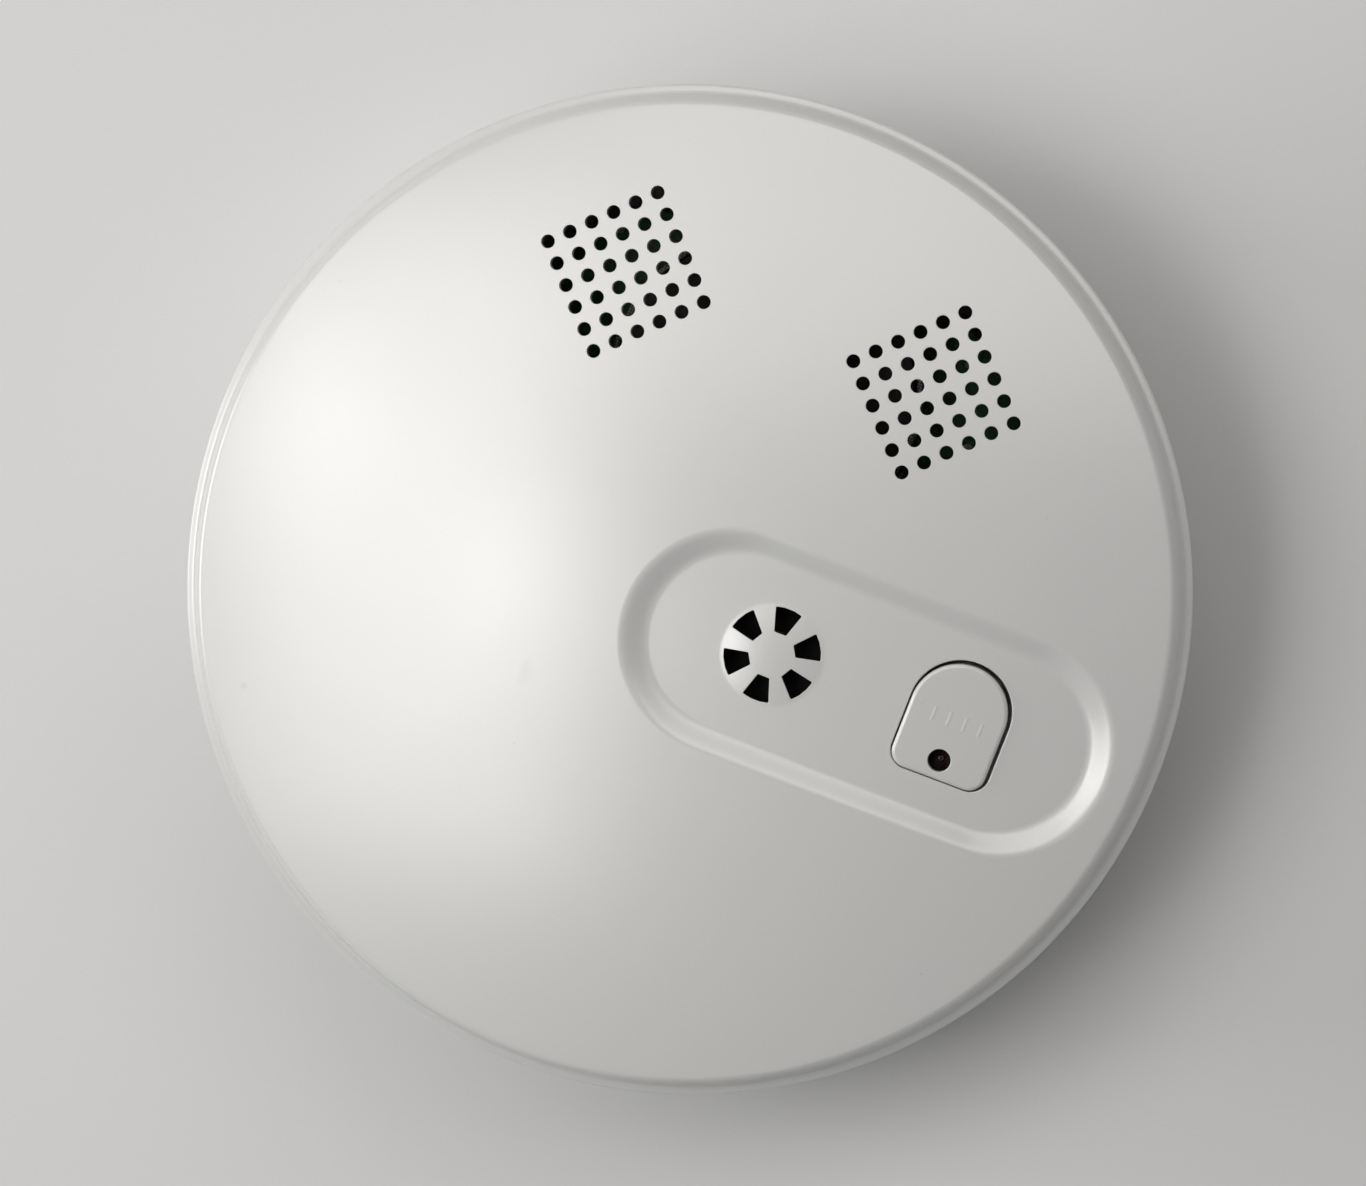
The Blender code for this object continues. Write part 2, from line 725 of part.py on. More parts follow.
def resistor(name, centre, turn):
    """A banded body held over the board by its two bent legs."""
    x, y = centre
    along = Vector((cos(radians(turn)), sin(radians(turn)), 0))
    middle = Vector((x, y, ON_BOARD + 1.3))
    body = lying_cylinder(name, middle - along * 3, middle + along * 3, 1.1, 12)
    for side in (-1, 1):
        wire_end = middle + along * 4.6 * side
        join(body, lying_cylinder(f"{name} wire {side}", middle + along * 2 * side, wire_end, 0.3, 8))
        foot = Vector((wire_end.x, wire_end.y, ON_BOARD))
        join(body, lying_cylinder(f"{name} leg {side}", foot, wire_end + Vector((0, 0, 0.25)), 0.32, 8))
    return part(body, ((0.72, 0.60, 0.42), 0.5, 0.0))


def transistor():
    x, y = 20.5, 11.5
    outline = arc(2.3, -40, 220, 12, (x, y))
    body = extruded("transistor", [outline], ON_BOARD + 2.0, ON_BOARD + 6.6)
    for side in (-1.27, 0, 1.27):
        low = (x + side - 0.25, y - 0.25, ON_BOARD)
        join(body, block(f"transistor leg {side}", low, (x + side + 0.25, y + 0.25, ON_BOARD + 2.5)))
    return part(body, DARK)


def boost_inductor():
    profile = [(0, 8.0), (3.9, 8.0), (3.9, 6.8), (3.0, 6.8), (3.0, 1.3), (3.9, 1.3), (3.9, 0), (0, 0)]
    rows = [(r, z + ON_BOARD) for r, z in profile]
    return part(turned("boost_inductor", rows, 16, (27.5, 13.0)), ((0.12, 0.11, 0.11), 0.6, 0.0))


def board_parts():
    made = [circuit_board(), detector_chip(), transistor(), boost_inductor()]
    made.append(capacitor("capacitor_large", (-12.5, -1.0), 3.2, 10.8))
    made.append(capacitor("capacitor_small", (-20.0, -3.0), 2.5, 7.0))
    for i, (x, y, turn) in enumerate(RESISTORS):
        made.append(resistor(f"resistor_{i + 1}", (x, y), turn))
    return made


# ---------------------------------------------------------------- rear housing


def housing_profile():
    inner, outer = TONGUE_RADII
    return [
        (0, BACK_TOP),
        (inner, BACK_TOP),
        (inner, TONGUE_TOP),
        (outer, TONGUE_TOP),
        (outer, PARTING_Z),
        (CASE_RADIUS - 1.3, PARTING_Z),
        (SKIRT_RADIUS + 0.2, SKIRT_BOTTOM + 2),
        (SKIRT_RADIUS - 0.4, SKIRT_BOTTOM),
        (SKIRT_RADIUS - WALL, SKIRT_BOTTOM),
        (SKIRT_RADIUS - WALL, BACK_BOTTOM),
        (0, BACK_BOTTOM),
    ]


def hook(angle):
    """An outward tab on a neck, which the bracket's lug holds."""
    inner, outer = HOOK_RADII
    neck_outline = sector((inner + 0.1, inner + HOOK_NECK), angle, HOOK_HALF_ANGLE - 0.15, 3)
    neck = extruded(f"hook neck {angle}", [neck_outline], HOOK_BOTTOM + 0.2, 6.4)
    tab_outline = sector((inner, outer), angle, HOOK_HALF_ANGLE)
    return neck, extruded(f"hook tab {angle}", [tab_outline], HOOK_BOTTOM, HOOK_TOP)


def rear_housing():
    housing = turned("rear_housing", housing_profile())
    low = (BAY_LOW[0] - BAY_WALL, BAY_LOW[1] - BAY_WALL)
    high = (BAY_HIGH[0] + BAY_WALL, BAY_HIGH[1] + BAY_WALL)
    bay = rounded_box(low, high, 2.0)
    join(housing, extruded("bay outside", [bay], BACK_TOP - 0.9, BAY_ROOF + BAY_WALL))
    for angle in COVER_SCREW_ANGLES:
        centre = polar(COVER_SCREW_RADIUS, angle)
        join(housing, cylinder(f"post {angle}", centre, 3.6, 6.5, PARTING_Z + 1.0, 24))
    for i, centre in enumerate(BOARD_SCREWS):
        join(housing, cylinder(f"board post {i + 1}", centre, 2.7, 6.5, BOARD_BOTTOM - GAP, 20))
    for i, centre in enumerate(BOARD_RESTS):
        join(housing, cylinder(f"board rest {i + 1}", centre, 1.8, 6.5, BOARD_BOTTOM - GAP, 16))
    for angle in LOCK_ANGLES:
        join(housing, *hook(angle))
    cut(housing, extruded("bay inside", [rounded_box(BAY_LOW, BAY_HIGH, 1.0)], 4, BAY_ROOF))
    low_x, high_x, low_z, high_z = LEAD_NOTCH
    cut(housing, block("lead notch", (low_x, BAY_HIGH[1] - 1, low_z), (high_x, BAY_HIGH[1] + 3, high_z)))
    for angle in COVER_SCREW_ANGLES:
        centre = polar(COVER_SCREW_RADIUS, angle)
        cut(housing, cylinder(f"counterbore {angle}", centre, 3.1, 4.6, 8.4, 20))
        cut(housing, cylinder(f"screw way {angle}", centre, 1.75, 7, 14, 16))
    for i, centre in enumerate(BOARD_SCREWS):
        cut(housing, cylinder(f"board pilot {i + 1}", centre, 1.4, 8.4, 14, 12))
    return part(housing, WHITE)


def screw(name, centre, head_radius, shank_radius, head_z, tip_z):
    """A pan-head screw; the head is at head_z and the point at tip_z, above or below it."""
    way = 1 if tip_z > head_z else -1
    profile = [
        (0, head_z),
        (head_radius * 0.75, head_z),
        (head_radius, head_z + way * 0.5),
        (head_radius, head_z + way * 1.7),
        (shank_radius, head_z + way * 1.7),
        (shank_radius, tip_z - way * 1.4),
        (0, tip_z),
    ]
    return part(turned(name, profile if way < 0 else profile[::-1], 12, centre), STEEL)


def screws():
    made = []
    for i, angle in enumerate(COVER_SCREW_ANGLES):
        centre = polar(COVER_SCREW_RADIUS, angle)
        made.append(screw(f"cover_screw_{i + 1}", centre, 2.7, 1.4, 6.2, 18.5))
    for i, centre in enumerate(BOARD_SCREWS):
        made.append(screw(f"board_screw_{i + 1}", centre, 2.4, 1.1, BOARD_TOP + GAP + 1.7, 9.0))
    return made


def rating_label():
    outline = rounded_box((-20, 2), (20, 24), 2.0)
    low = BACK_BOTTOM - GAP - 0.3
    return part(extruded("rating_label", [outline], low, low + 0.3), ((0.78, 0.78, 0.76), 0.5, 0.0))


# ---------------------------------------------------------------- battery


def battery():
    """A nine-volt block with its two terminals, the snap on them and the snap's leads."""
    case = block("battery_case", BATTERY_LOW, BATTERY_HIGH, 1.6)
    y = (BATTERY_LOW[1] + BATTERY_HIGH[1]) / 2
    z = (BATTERY_LOW[2] + BATTERY_HIGH[2]) / 2
    start = BATTERY_HIGH[0] + GAP
    half = TERMINAL_SPACING / 2
    snap = block("battery_snap", (start, y - 12.2, z - 6), (SNAP_END, y + 12.2, z + 6), 0.8)
    terminals = []
    for name, side, radius in (("positive", 1, 2.9), ("negative", -1, 3.6)):
        centre = y + side * half
        mouth, foot = (start - 1, centre, z), (TERMINAL_END + 0.6, centre, z)
        cut(snap, lying_cylinder(f"{name} socket", mouth, foot, radius + 0.4, 20))
        base, tip = (start, centre, z), (TERMINAL_END, centre, z)
        terminals.append(part(lying_cylinder(f"battery_terminal_{name}", base, tip, radius, 20), STEEL))
    part(case, ((0.62, 0.63, 0.64), 0.35, 0.6))
    part(snap, DARK)
    return case, snap, *terminals


def lead(name, x, z, end, look):
    """A lead from the snap's end through the notch in the bay wall and down to the board."""
    start_y = (BATTERY_LOW[1] + BATTERY_HIGH[1]) / 2 + 12.2 + GAP
    stops = [
        (x, start_y, z),
        (x, BAY_HIGH[1] + 0.6, z + 0.15),
        (x, BAY_HIGH[1] + 3.0, z + 0.1),
        ((x + end[0]) / 2, (BAY_HIGH[1] + 3.0 + end[1]) / 2, z - 0.3),
        (end[0], end[1] - 0.7, ON_BOARD + 1.5),
        (end[0], end[1], ON_BOARD + 0.05),
    ]
    return part(tube(name, smooth_path([Vector(p) for p in stops], 3), 0.65, 1), look)


def smooth_path(stops, steps):
    """A Catmull-Rom curve through the stops."""
    padded = [2 * stops[0] - stops[1], *stops, 2 * stops[-1] - stops[-2]]
    points = []
    for a, b, c, d in zip(padded, padded[1:], padded[2:], padded[3:]):
        for i in range(steps):
            t = i / steps
            square, cube = 2 * a - 5 * b + 4 * c - d, 3 * b - a - 3 * c + d
            points.append(0.5 * (2 * b + (c - a) * t + square * t**2 + cube * t**3))
    return [*points, stops[-1]]


def battery_leads():
    red = lead("battery_lead_red", 21.3, 17.8, (17.0, -3.5), ((0.55, 0.03, 0.02), 0.45, 0.0))
    black = lead("battery_lead_black", 23.2, 17.0, (21.0, -3.0), DARK)
    return red, black


# ---------------------------------------------------------------- bracket


def mounting_bracket():
    plate = BRACKET_PLATE
    rim = BRACKET_RADIUS - 1.6
    profile = [
        (BRACKET_OPENING, plate),
        (rim, plate),
        (rim, BRACKET_RIM_TOP),
        (BRACKET_RADIUS, BRACKET_RIM_TOP),
        (BRACKET_RADIUS, 0),
        (BRACKET_OPENING, 0),
    ]
    bracket = turned("mounting_bracket", profile, on_axis=False)
    inner, outer = LUG_RADII
    for angle in LOCK_ANGLES:
        wall = sector((outer - 1.6, outer - 0.1), angle, LUG_HALF_ANGLE - 0.1)
        flange = sector(LUG_RADII, angle, LUG_HALF_ANGLE)
        stop = sector((inner + 0.1, outer - 0.2), angle - LUG_HALF_ANGLE - 0.9, 1.3, 1)
        join(bracket, extruded(f"lug wall {angle}", [wall], plate - 0.5, LUG_TOP - 0.4))
        join(bracket, extruded(f"lug stop {angle}", [stop], plate - 0.6, LUG_TOP - 0.2))
        join(bracket, extruded(f"lug flange {angle}", [flange], LUG_FLANGE_BOTTOM, LUG_TOP))
        slot = arc_slot(SCREW_SLOT_RADIUS, SCREW_SLOT_WIDTH, angle + 45, SCREW_SLOT_HALF_ANGLE)
        cut(bracket, extruded(f"screw slot {angle}", [slot], -1, plate + 1))
    return part(bracket, INNER_WHITE)


# ---------------------------------------------------------------- assembly


def empty(name, location):
    made = bpy.data.objects.new(name, None)
    made.location = Vector(location) * MM
    made.empty_display_size = 10 * MM
    PARTS.objects.link(made)
    return made


def hang(pieces, pivot):
    """Parents pieces to a pivot and leaves them where they are."""
    bpy.context.view_layer.update()
    for piece in pieces:
        piece.parent = pivot
        piece.matrix_parent_inverse = pivot.matrix_world.inverted()


def build():
    mounting_bracket()
    twist = empty("twist_lock_axis", (0, 0, BRACKET_PLATE))
    switch_body, plunger = test_switch()
    button = test_button()
    fixed = [rear_housing(), front_cover(), rating_label(), status_led(), switch_body, button_spring()]
    fixed += [*sounder(), *chamber(), *chamber_optics(), *board_parts(), *screws()]
    fixed += [*battery(), *battery_leads()]
    press = empty("button_press_axis", (BUTTON_CENTRE_X, STEM_Y, BUTTON_BASE_Z))
    click = empty("plunger_press_axis", (BUTTON_CENTRE_X, STEM_Y, PLUNGER_TOP))
    hang([button], press)
    hang([plunger], click)
    hang([*fixed, press, click], twist)


build()
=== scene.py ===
from math import atan2, cos, degrees, hypot, pi, radians, sin, sqrt

import bpy
import numpy as np
from mathutils import Matrix, Vector
from mathutils.geometry import delaunay_2d_cdt
from mathutils.kdtree import KDTree


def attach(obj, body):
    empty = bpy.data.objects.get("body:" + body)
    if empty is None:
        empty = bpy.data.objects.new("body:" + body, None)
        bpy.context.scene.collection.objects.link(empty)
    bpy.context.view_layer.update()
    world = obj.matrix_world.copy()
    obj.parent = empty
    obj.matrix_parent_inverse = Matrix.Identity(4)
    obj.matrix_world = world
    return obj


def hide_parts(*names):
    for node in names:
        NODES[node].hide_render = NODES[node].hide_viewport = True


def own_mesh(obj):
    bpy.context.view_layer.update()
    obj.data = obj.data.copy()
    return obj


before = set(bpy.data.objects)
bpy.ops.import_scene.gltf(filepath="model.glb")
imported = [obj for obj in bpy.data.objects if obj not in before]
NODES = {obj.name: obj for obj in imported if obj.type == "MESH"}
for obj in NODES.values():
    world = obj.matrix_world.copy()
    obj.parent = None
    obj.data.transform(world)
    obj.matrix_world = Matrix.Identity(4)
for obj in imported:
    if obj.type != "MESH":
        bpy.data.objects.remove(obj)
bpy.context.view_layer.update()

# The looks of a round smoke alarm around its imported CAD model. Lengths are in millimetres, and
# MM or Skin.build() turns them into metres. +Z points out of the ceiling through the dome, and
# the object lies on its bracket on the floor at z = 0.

MM = 0.001

# The case, as in the CAD source
CASE_RADIUS = 55.0
CASE_HEIGHT = 35.998  # a hair under the CAD dome, whose facets cut across its curve
WALL = 2.0
CREASE_RADIUS = 52.9
CREASE_Z = 29.0
LIP_Z = 25.7
WIDEST_Z = 24.6
PARTING_Z = 11.0
GAP = 0.3
DOME_RISE = CASE_HEIGHT - CREASE_Z
DOME_RADIUS = (CREASE_RADIUS**2 + DOME_RISE**2) / (2 * DOME_RISE)
AROUND = 288  # points round the case

# The sunk panel: half lengths and half widths of its rim, floor and thicker back
PANEL_CENTRE = (22.8, -2.1)
PANEL_RIM = (27.5, 12.3)
PANEL_FLOOR = (24.1, 9.3)
PANEL_DEPTH = 1.3
PANEL_STEPS = 12  # down its wall
PANEL_END_STEPS = 44
PANEL_EDGE_STEP = 0.87
PAD = (28.2, 15.5)
PAD_DROP = 1.2

# Smoke holes
PATCH_CENTRES = ((-17.5, 30.3), (17.75, 30.2))
PATCH_COUNT = 6
HOLE_PITCH = 2.565
HOLE_RADIUS = 0.74
HOLE_SIDES = 16
HOLE_LIP = 0.06

# Sounder grille
SOUNDER_CENTRE = (12.0, -1.9)
SLOT_ENDS = (2.43, 4.96)
SLOT_HALF_WIDTHS = (0.655, 1.47)
SLOT_COUNT = 6
SLOT_CORNER = 0.14
SLOT_LIP = 0.06
SLOT_BOW = 0.2
DRAFT = 0.2  # how much wider an opening is on the inside
GRILLE_RADIUS = 5.5
GRILLE_RISE = 0.55
GRILLE_CLEAR = 6.9  # no plain grid inside this radius
SOUNDER_RADIUS = 12.0
COLLAR_HEIGHTS = (27.5, 32.0)
COLLAR_WALL = 1.0

# Test button and status light
BUTTON_CENTRE_X = 32.6
BUTTON_HALF_WIDTH = 5.24
BUTTON_TOP_Y = 4.67
BUTTON_BOTTOM_Y = -8.08
BUTTON_CORNER = 1.8
BUTTON_PROUD = 0.45
BUTTON_EDGE = 0.42
BUTTON_BASE_Z = 25.2
WINDOW_GAP = 0.27
WINDOW_SHIFT = (0.1, 0.16)
WINDOW_LIP = 0.16
SLEEVE_WALL = 1.2
SLEEVE_BOTTOM = 26.8
FLANGE_GROW = 1.4
FLANGE_TOP = 26.4
RIB_PLACES = (30.2, 31.95, 33.7, 35.45)
RIB_ENDS = (-2.35, -0.65)
RIB_HALF_WIDTH = 0.22
RIB_RISE = 0.03
STEM_Y = 0.5
STEM_RADIUS = 2.0
STEM_BOTTOM = 19.4
LED_CENTRE = (32.55, -6.03)
LED_RADIUS = 1.3
LED_HEIGHTS = (24.5, 29.8)
LED_FOOT = 0.15  # how far its rim stands out
LED_LEG = 0.25
LED_LEG_PLACES = (-0.8, 0.8)
LED_WINDOW_RADIUS = 1.22
LED_BORE_RADIUS = 1.55
LED_BORE_TOP = 31.0
ON_BOARD = 13.9
SPRING_RADIUS = 3.8
SPRING_WIRE = 0.25
SPRING_TURNS = 5
SPRING_TOP = BUTTON_BASE_Z - GAP

# Cover screws and their bosses
COVER_SCREW_RADIUS = 45.5
COVER_SCREW_ANGLES = (90, 205, 335)
BOSS_RADIUS = 3.0
BOSS_HEIGHTS = (12.3, 29.9)
PILOT_RADIUS = 1.7
PILOT_TOP = 19.5

# Rear housing, bracket and battery
SKIRT_RADIUS = 53.0
SKIRT_BOTTOM = 1.0
BACK_BOTTOM = 5.4
BACK_TOP = 7.4
TONGUE_RADII = (49.6, 51.2)
TONGUE_TOP = 13.6
BAY_LOW = (-27.4, -37.65)
BAY_HIGH = (24.8, -10.35)
BAY_WALL = 1.2
BAY_ROOF = 24.0
NOTCH_LOW = (20.0, -12.0, 14.6)
NOTCH_HIGH = (24.4, -7.0, 19.6)
BOARD_SCREWS = ((-34.0, 20.0), (34.0, 20.0))
BOARD_RESTS = ((-36.0, -4.0), (36.0, -4.0))
POST_TOP = 11.7
BRACKET_RADIUS = 49.5
BRACKET_OPENING = 33.0
BRACKET_PLATE = 2.0
BRACKET_RIM = 1.6
BRACKET_RIM_TOP = 4.4
LOCK_ANGLES = (0, 90, 180, 270)
LUG_RADII = (42.2, 46.8)
LUG_HALF_ANGLE = 8.0
LUG_TOP = 5.0
LUG_FLANGE_BOTTOM = 3.9
HOOK_RADII = (39.6, 44.8)
HOOK_HALF_ANGLE = 7.0
HOOK_BOTTOM = 2.4
HOOK_TOP = 3.5
SCREW_SLOT_RADIUS = 40.0
SCREW_SLOT_WIDTH = 3.8
BATTERY_LOW = (-27.0, -37.25, 5.9)
BATTERY_HIGH = (19.0, -10.75, 23.4)

# Surroundings
FLOOR_RADIUS = 4000
FLOOR_GAP = 0.05  # keeps the floor clear of the bracket's face
PANEL_HEIGHT = 730.0  # of the soft lights over the floor
WINDOW_AIM = (0, 0, 25)
ROOM_LIGHT = 0.09
WALL_LIGHT = 0.55

FRONT_WHITE = (0.60, 0.604, 0.594)


# ---- outlines


def polar(radius, angle, centre=(0.0, 0.0)):
    a = radians(angle)
    return (centre[0] + radius * cos(a), centre[1] + radius * sin(a))


class Outline:
    """A closed counter-clockwise loop with the outward direction at each point."""

    def __init__(self, points, directions):
        self.points = points
        self.directions = directions

    def grown(self, by):
        pairs = zip(self.points, self.directions)
        return [(x + by * dx, y + by * dy) for (x, y), (dx, dy) in pairs]


def arcs_outline(arcs, edge_step=1.0):
    """Joins arcs of (centre, radius, first angle, last angle, steps) by straight edges."""
    points, directions = [], []
    for centre, radius, first, last, steps in arcs:
        for i in range(steps + 1):
            angle = first + (last - first) * i / steps
            here = polar(radius, angle, centre)
            if points and i == 0:
                bridge_gap(points, directions, here, edge_step)
            points.append(here)
            directions.append(polar(1, angle))
    bridge_gap(points, directions, points[0], edge_step)
    return Outline(points, directions)


def bridge_gap(points, directions, end, edge_step):
    start = points[-1]
    length = hypot(end[0] - start[0], end[1] - start[1])
    count = int(length / edge_step)
    outward = directions[-1]
    for i in range(1, count):
        t = i / count
        points.append((start[0] + (end[0] - start[0]) * t, start[1] + (end[1] - start[1]) * t))
        directions.append(outward)


def circle(radius, steps, centre=(0.0, 0.0)):
    angles = [360 * i / steps for i in range(steps)]
    return Outline([polar(radius, a, centre) for a in angles], [polar(1, a) for a in angles])


def stadium(size):
    """An outline about the panel's centre, of a half length along x and a half width.

    The edge step gives the panel's rim and floor equal counts, so that they pair up."""
    (x, y), run, radius = PANEL_CENTRE, size[0] - size[1], size[1]
    right = ((x + run, y), radius, -90, 90, PANEL_END_STEPS)
    left = ((x - run, y), radius, 90, 270, PANEL_END_STEPS)
    return arcs_outline((right, left), PANEL_EDGE_STEP)


def arch(grow=0.0, shift=(0.0, 0.0)):
    """The test button's outline: a half-round top and two rounded lower corners."""
    half = BUTTON_HALF_WIDTH + grow
    corner = max(BUTTON_CORNER + grow, 0.2)
    x = BUTTON_CENTRE_X + shift[0]
    low = BUTTON_BOTTOM_Y + shift[1] - grow + corner
    top = ((x, BUTTON_TOP_Y + shift[1] - BUTTON_HALF_WIDTH), half, 0, 180, 36)
    left = ((x - half + corner, low), corner, 180, 270, 10)
    right = ((x + half - corner, low), corner, 270, 360, 10)
    return arcs_outline((top, left, right), 0.7)


def rounded_corners(corners, radius, steps, edge_step=1.0):
    """A convex counter-clockwise polygon with round corners."""
    arcs = []
    count = len(corners)
    for i, here in enumerate(corners):
        before, after = Vector(corners[i - 1]), Vector(corners[(i + 1) % count])
        here = Vector(here)
        into, out = (here - before).normalized(), (after - here).normalized()
        first = Vector((into.y, -into.x))
        last = Vector((out.y, -out.x))
        middle = (first + last).normalized()
        centre = here - middle * (radius / middle.dot(first))
        start = degrees(atan2(first.y, first.x))
        turn = degrees(first.angle_signed(last) * -1)
        arcs.append(((centre.x, centre.y), radius, start, start + turn, steps))
    return arcs_outline(arcs, edge_step)


def rounded_box(low, high, radius, steps=6, edge_step=2.0):
    corners = [(low[0], low[1]), (high[0], low[1]), (high[0], high[1]), (low[0], high[1])]
    return rounded_corners(corners, radius, steps, edge_step)


def sector(radii, middle, half_angle, steps=10):
    """Part of a ring about the axis."""
    inner, outer = radii
    first, last = middle - half_angle, middle + half_angle
    angles = [first + (last - first) * i / steps for i in range(steps + 1)]
    points = [polar(outer, a) for a in angles] + [polar(inner, a) for a in reversed(angles)]
    directions = [polar(1, a) for a in angles] + [polar(-1, a) for a in reversed(angles)]
    for i, side in ((0, -1), (steps, 1), (steps + 1, 1), (2 * steps + 1, -1)):
        x, y = directions[i]
        across = polar(side, (last if side > 0 else first) + 90)
        directions[i] = (x + across[0], y + across[1])
    return Outline(points, directions)


def arc_slot(radius, width, middle, half_angle, steps=16):
    """A slot with round ends that follows a circle about the axis."""
    first, last = middle - half_angle, middle + half_angle
    angles = [first + (last - first) * i / steps for i in range(steps + 1)]
    points, directions = [], []
    for way, order, end in ((1, angles, last), (-1, angles[::-1], first)):
        points += [polar(radius + way * width / 2, a) for a in order]
        directions += [polar(way, a) for a in order]
        centre = polar(radius, end)
        turn = end if way > 0 else end + 180
        for i in range(1, 8):
            points.append(polar(width / 2, turn + 22.5 * i, centre))
            directions.append(polar(1, turn + 22.5 * i))
    return Outline(points, directions)


def rounded_rows(corners, radii, steps=4):
    """Rows of (radius, height) along a profile, with each inner corner rounded."""
    rows = [corners[0]]
    for before, here, after, radius in zip(corners, corners[1:], corners[2:], radii):
        a, b, c = Vector(before), Vector(here), Vector(after)
        into, out = (a - b).normalized(), (c - b).normalized()
        if radius == 0:
            rows.append(here)
            continue
        half = into.angle(out) / 2
        reach = radius / np.tan(half)
        start, end = b + into * reach, b + out * reach
        centre = b + (into + out).normalized() * (radius / sin(half))
        u, v = start - centre, end - centre
        sweep = u.angle(v)
        for i in range(steps + 1):
            t = i / steps
            share = (sin((1 - t) * sweep) * u + sin(t * sweep) * v) / sin(sweep)
            rows.append(tuple(centre + share))
    rows.append(corners[-1])
    return rows


# ---- skins


